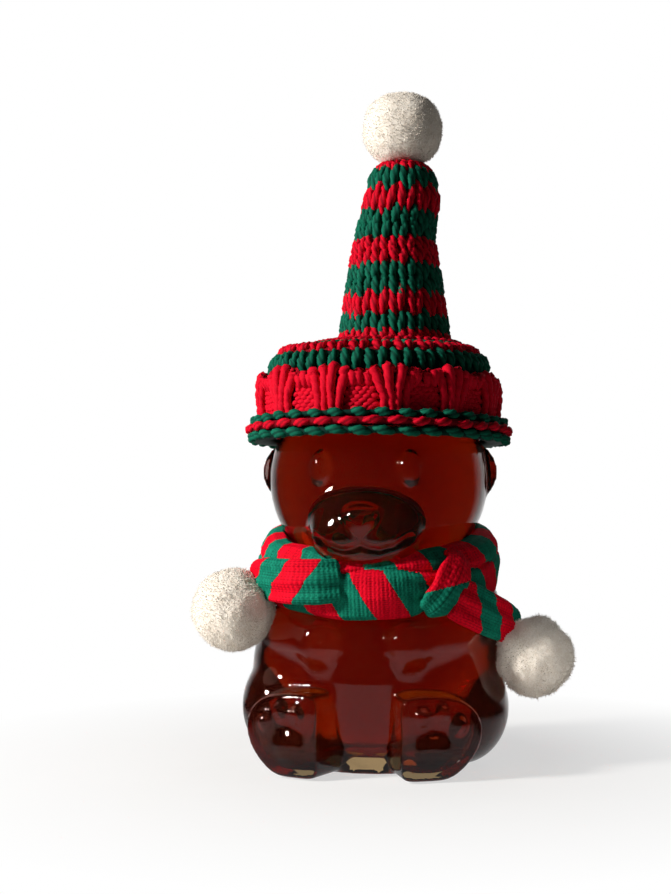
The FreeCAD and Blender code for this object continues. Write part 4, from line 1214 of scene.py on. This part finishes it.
def band_shape(s, q):
    """The band: s is the share round the neck, q the share round its section."""
    turn = s * 2 * math.pi - math.pi
    reach, rise = (np.interp(q, SECTION[:, 0], SECTION[:, column]) for column in (1, 2))
    # The band is pinched at the crossing, stands higher at the sides and tucks up under the cheeks.
    pinch = np.exp(-((turn - KNOT_TURN) / 0.22) ** 2)
    rise = rise * (1 - 0.25 * pinch) + 1.2 * pinch
    rise = rise + 2.4 * np.sin(turn) ** 2 * np.clip(rise / 7, 0, 1)
    top = np.clip(np.minimum((q - 0.42) / 0.14, (0.97 - q) / 0.2), 0, 1)
    rise = rise + 2.4 * np.exp(-((np.abs(turn) - 0.6) / 0.4) ** 2) * top
    # Stitches show on its outer side, with slow folds, the crease and the pleats of the pinch.
    outer = np.clip(np.minimum(q / 0.05, (0.72 - q) / 0.06), 0, 1)
    along = turn * BAND_RADIUS
    across = q * 38 + 0.10 * along
    height = fine_knit(along, across) * outer
    fold = 0.6 * np.sin(along * 0.21 + 1.3 * np.sin(along * 0.05)) * np.cos(rise * 0.35)
    crease = 4.2 + 0.8 * np.sin(turn * 3) + 3.0 * np.exp(-(turn / 0.55) ** 2)
    fold -= 1.1 * np.exp(-((rise - crease) / 0.7) ** 2)
    fold += 0.9 * pinch * np.cos(rise * 1.5 + (turn - KNOT_TURN) * 9)
    # The stripes slant, and those of the upper turn are shifted along.
    shift = np.where(rise > crease, UPPER_SHIFT, 0)
    stripe = (along - STRIPE_START + rise * STRIPE_SLANT + shift) / STRIPE_WIDTH
    return on_scarf(turn, reach + outer * (RELIEF * height + fold - 0.3), rise), height, stripe


band = strip("scarf_band", 760, 104, band_shape)
red_band, green_band = split_colours(band, "scarf_wrap_red_knit", "scarf_wrap_green_knit")
dress_in(CLOTHS, red_band, "bottle", "scarf_wrap_red")
dress_in(CLOTHS, green_band, "bottle", "scarf_wrap_green")


# %% [markdown]
# ### Tails
# Each end of the scarf hangs down to its pompom in four stripes. A tail swings about its root, so it is
# blended between the bottle and its own body there, as cloth that bends and doesn't tear.

# %% Tails
WIDTHS = [12.0, 12.8, 12.8, 12.6, 12.2, 11.0, 7.0]
TAIL_STRIPES = 4
TAIL_THICK = 2.1


def tail(side, route, first, start, end):
    """A striped tail through points of (turn, reach, rise) on the band; an even first stripe is red."""
    keys = np.linspace(0, 1, len(route))
    turns, reaches, rises = (np.array(v, float) for v in zip(*route))
    turns = np.radians(turns)
    total = sum(np.linalg.norm(np.diff(on_scarf(turns, reaches, rises), axis=0), axis=1))

    def along_route(s):
        return on_scarf(*(np.interp(s, keys, v) for v in (turns, reaches, rises)))

    def shape(s, q):
        middle, way = along_route(s), unit(along_route(s + 0.03) - along_route(s - 0.03))
        up = unit(np.array((0, 0, 1.0)) - way * way[:, 2:])
        out = np.cross(way, up) * side
        # A flat tube with a soft wave and stitches on both faces, closed at its ends
        width = np.interp(s, np.linspace(0, 1, len(WIDTHS)), WIDTHS)
        angle = q * 2 * math.pi
        across = np.cos(angle)
        across = np.sign(across) * np.abs(across) ** 0.9 * width / 2
        thick = TAIL_THICK * np.sin(angle) * (1 + 0.25 * np.sin(across * 1.1 + s * 4))
        height = fine_knit(s * total, across)
        thick = thick + RELIEF * height * np.sign(np.sin(angle)) * np.abs(np.sin(angle)) ** 0.5
        ends = np.clip(np.minimum(s / 0.03, (1 - s) / 0.03), 0.02, 1)
        thick, across = thick * ends ** 0.5, across * (0.6 + 0.4 * ends ** 0.5)
        stripe = first + np.clip((s + 0.018 * across) * TAIL_STRIPES, 0, TAIL_STRIPES - 0.01)
        return middle + up * across[:, None] + out * thick[:, None], height, stripe

    piece = strip("tail", int(total / 0.25), 110, shape)
    body = "left_tail" if side < 0 else "right_tail"
    nodes = ["scarf_%s_%s" % (body, colour) for colour in ("red", "green")]
    pieces = split_colours(piece, nodes[0] + "_knit", nodes[1] + "_knit")
    for part, node in zip(pieces, nodes):
        dress_in(CLOTHS, part, None, node)
        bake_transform(part, "bottle", body, start, end)
    return pieces


LEFT_ROUTE = [(-10, 33.6, 4.6), (-19, 36.8, 4.4), (-29, 38.4, 4.0), (-38, 38.7, 3.4), (-47, 38.8, 2.8),
              (-55, 38.9, 1.8), (-59, 38.6, 0.4)]
RIGHT_ROUTE = [(42, 37.4, -1.5), (48, 38.8, -4.2), (55, 39.4, -7.2), (62, 40.2, -10.0), (69, 40.8, -12.6),
               (76, 41.2, -15.2), (79, 41.4, -16.6)]
left_root = Vector((-13.219, -36.024, 52.396)) * MM
right_root = Vector((22.498, -26.226, 52.026)) * MM
left_pieces = tail(-1, LEFT_ROUTE, 1, left_root, left_root + Vector((-10, 4, 1)) * MM)
right_pieces = tail(1, RIGHT_ROUTE, 0, right_root, right_root + Vector((8, 3, -6)) * MM)

# %% [markdown]
# ### Crossing on the side
# Where the ends cross, one of them is pulled over the band in a short, pinched fold. It is the same strip
# again, bent over the band from behind its top to behind its bottom.

# %% Crossing on the side
KNOT_LEAN, KNOT_BEND = math.radians(34), math.radians(210)
KNOT_OUT, KNOT_UP, KNOT_THICK = 3.6, 8.0, 1.9
KNOT_MIDDLE = on_scarf(np.array(KNOT_TURN), 33.8, 1.8)


def turned(first, second, angle):
    """Two axes of places, turned by an angle from the first towards the second."""
    c, s = math.cos(angle), math.sin(angle)
    return first * c - second * s, first * s + second * c


def knot_shape(s, q):
    """A short strip that wraps over the pinched band from behind its top to behind its bottom."""
    bend, angle = (s - 0.5) * KNOT_BEND, q * 2 * math.pi
    side = np.cos(angle) * (4.9 + 0.7 * np.cos(bend * 2) + 0.3 * np.sin(bend * 5))
    height = fine_knit(bend * 7, side)
    thick = (KNOT_THICK + RELIEF * height + 0.35 * np.cos(np.cos(angle) * 5 + bend)) * np.sin(angle)
    out = 0.4 + (KNOT_OUT + thick) * np.cos(bend)
    up = (KNOT_UP + thick) * np.sin(bend)
    side, up = turned(side, up, -KNOT_LEAN)
    x, y = turned(side, -out, KNOT_TURN)
    stripe = np.clip(0.25 * x - 0.2 - up, 0, 1.5)
    return np.stack([x, y, up], 1) + KNOT_MIDDLE, height, stripe


knot = strip("knot", 120, 72, knot_shape)
red_knot, green_knot = split_colours(knot, "scarf_knot_knit", "scarf_knot_green_knit")
dress_in(CLOTHS, red_knot, "bottle", "scarf_knot", colour="red")
dress_in(CLOTHS, green_knot, "bottle", colour="green")

left_end = on_scarf(np.radians(-55.0), 38.65, 2.4)
right_end = on_scarf(np.radians(76.0), 41.0, -15.0)
for side, ball, end, reach in (("left", LEFT_BALL, left_end, 12.05),
                               ("right", RIGHT_BALL, right_end, 11.35)):
    ball = np.array(ball)
    tie("scarf_%s_tie" % side, ball, ball + unit(end - ball) * reach, side + "_tail")

# %% [markdown]
# ## Studio
# The photograph has a white ground and one small lamp high on the left, so the right side of the hat
# falls into shade. A weak fill and a rim light open the shade, and a narrow spot lights the pompom on the
# right, which stands in the shadow of the bear. White paper carries the object and its shadow. To the
# camera, the paper and the room behind show as plain white, and so they do in what glass lets through
# away from the bear and in what it reflects from behind. In front of the bear, the paper that glass
# reflects glows as a painted reflection: pale in a middle strip and nearly black at the sides.

# %% Studio
WHITE, WARM = (1, 1, 1, 1), (1, 0.98, 0.96, 1)
BEHIND = (0.55, 0.95)
bpy.ops.mesh.primitive_plane_add(size=2.4, location=(0, 1.045, 0))
floor = settled("floor")
floor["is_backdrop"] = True
paper = Finish("paper", {"Specular IOR Level": 0.1})
tooth = paper.cloud(paper.place(), 60.0)
paper.feed(paper.shader, {"Base Color": paper.mix(tooth, paint(240, 239, 237), paint(246, 245, 243)),
                          "Roughness": 0.95 - tooth * 0.1})
path = paper.tree.nodes.new("ShaderNodeLightPath").outputs
sideways = paper.node("ShaderNodeMath", {"operation": "ABSOLUTE"}, {0: paper.axis(paper.place(), 0)})
sideways = paper.between(sideways, 0.07, 0.12)
away = paper.node("ShaderNodeVectorMath", {"operation": "LENGTH"}, {0: paper.place()}, 1)
backwards = paper.axis(paper.place(), 1) / away
front = 1 - paper.between(backwards, *BEHIND)
mirrored = Wire(paper, path["Is Glossy Ray"])
through = Wire(paper, path["Is Transmission Ray"]) * paper.between(away, 0.06, 0.14)
seen = Wire(paper, path["Is Camera Ray"]) + through + mirrored * (1 - front)
glow, near, far = (paper.node("ShaderNodeEmission", {}, {"Color": WHITE, "Strength": strength})
                   for strength in (1.0, 0.45, 0.02))
# Painted reflection: in front of the bear, the paper that glass reflects glows pale in a middle strip and
# nearly black at the sides.
painted_reflection_strip = paper.node("ShaderNodeMixShader", {}, {0: sideways, 1: near, 2: far})
plain = Wire(paper, paper.shader.outputs[0])
base = paper.node("ShaderNodeMixShader", {}, {0: mirrored * front, 1: plain, 2: painted_reflection_strip})
share = paper.between(away, 0.05, 0.15) * 0.4 + 0.6
share = paper.node("ShaderNodeMath", {"operation": "MULTIPLY", "use_clamp": True}, {0: seen, 1: share})
mixed = paper.node("ShaderNodeMixShader", {}, {0: share, 1: base, 2: glow})
paper.tree.links.new(mixed.socket, paper.tree.nodes["Material Output"].inputs["Surface"])
floor.data.materials.append(paper.material)

world = bpy.data.worlds.new("studio")
bpy.context.scene.world = world
world.use_nodes = True
sky = Network(world.node_tree)
path = sky.tree.nodes.new("ShaderNodeLightPath").outputs
behind = sky.axis(sky.node("ShaderNodeTexCoord", output=0), 1)
seen, mirrored, through = (Wire(sky, path["Is %s Ray" % kind])
                           for kind in ("Camera", "Glossy", "Transmission"))
shown = mirrored * sky.between(behind, *BEHIND) + through * sky.between(behind, -0.8, 0.4)
soft, dark, ground = (sky.node("ShaderNodeBackground", {}, {"Color": colour, "Strength": strength})
                      for colour, strength in ((WARM, 0.055), (WARM, 0.015), (WHITE, 1.0)))
room = sky.node("ShaderNodeMixShader", {}, {0: mirrored, 1: soft, 2: dark})
white = sky.node("ShaderNodeMath", {"operation": "ADD", "use_clamp": True}, {0: shown, 1: seen})
choice = sky.node("ShaderNodeMixShader", {}, {0: white, 1: room, 2: ground})
sky.tree.links.new(choice.socket, sky.tree.nodes["World Output"].inputs["Surface"])


def lamp(kind, name, place, aim, power, colour, **settings):
    """A lamp that looks at its aim, with the settings of its kind."""
    bpy.ops.object.light_add(type=kind, location=place)
    light = bpy.context.object
    light.name = name
    light.rotation_euler = (Vector(aim) - Vector(place)).to_track_quat("-Z", "Y").to_euler()
    settings.update(energy=power, color=colour)
    for key, value in settings.items():
        setattr(light.data, key, value)
    return light


MIDDLE = (0, 0, 0.1)
lamp("AREA", "key", (-0.68, -0.40, 0.40), MIDDLE, 11.0, (1, 0.97, 0.93), shape="DISK", size=0.16)
fill = lamp("AREA", "fill", (0.5, -0.7, 0.5), MIDDLE, 0.12, WARM[:3], shape="DISK", size=0.6)
lamp("AREA", "rim", (0.3, 0.7, 0.6), MIDDLE, 0.6, WHITE[:3], shape="DISK", size=0.4)
spot = lamp("SPOT", "pompom light", (0.20, -0.55, 0.10), Vector(RIGHT_BALL) * MM, 8.0, WHITE[:3],
            spot_size=math.radians(3.6), spot_blend=1.0, shadow_soft_size=0.02)
for light in (fill, spot):
    light.visible_glossy = False
bpy.context.scene.view_settings.view_transform = "Standard"
print("studio ready")

# %% [markdown]
# ## Sizes
# Dressing must not make the object bigger than its construction model. Here the box round the
# dressed pieces is found and their triangles are counted.

# %% Sizes
low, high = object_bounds()
triangles = sum(len(p.vertices) - 2 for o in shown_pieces() if o.type == "MESH" for p in o.data.polygons)
print("triangles", triangles)
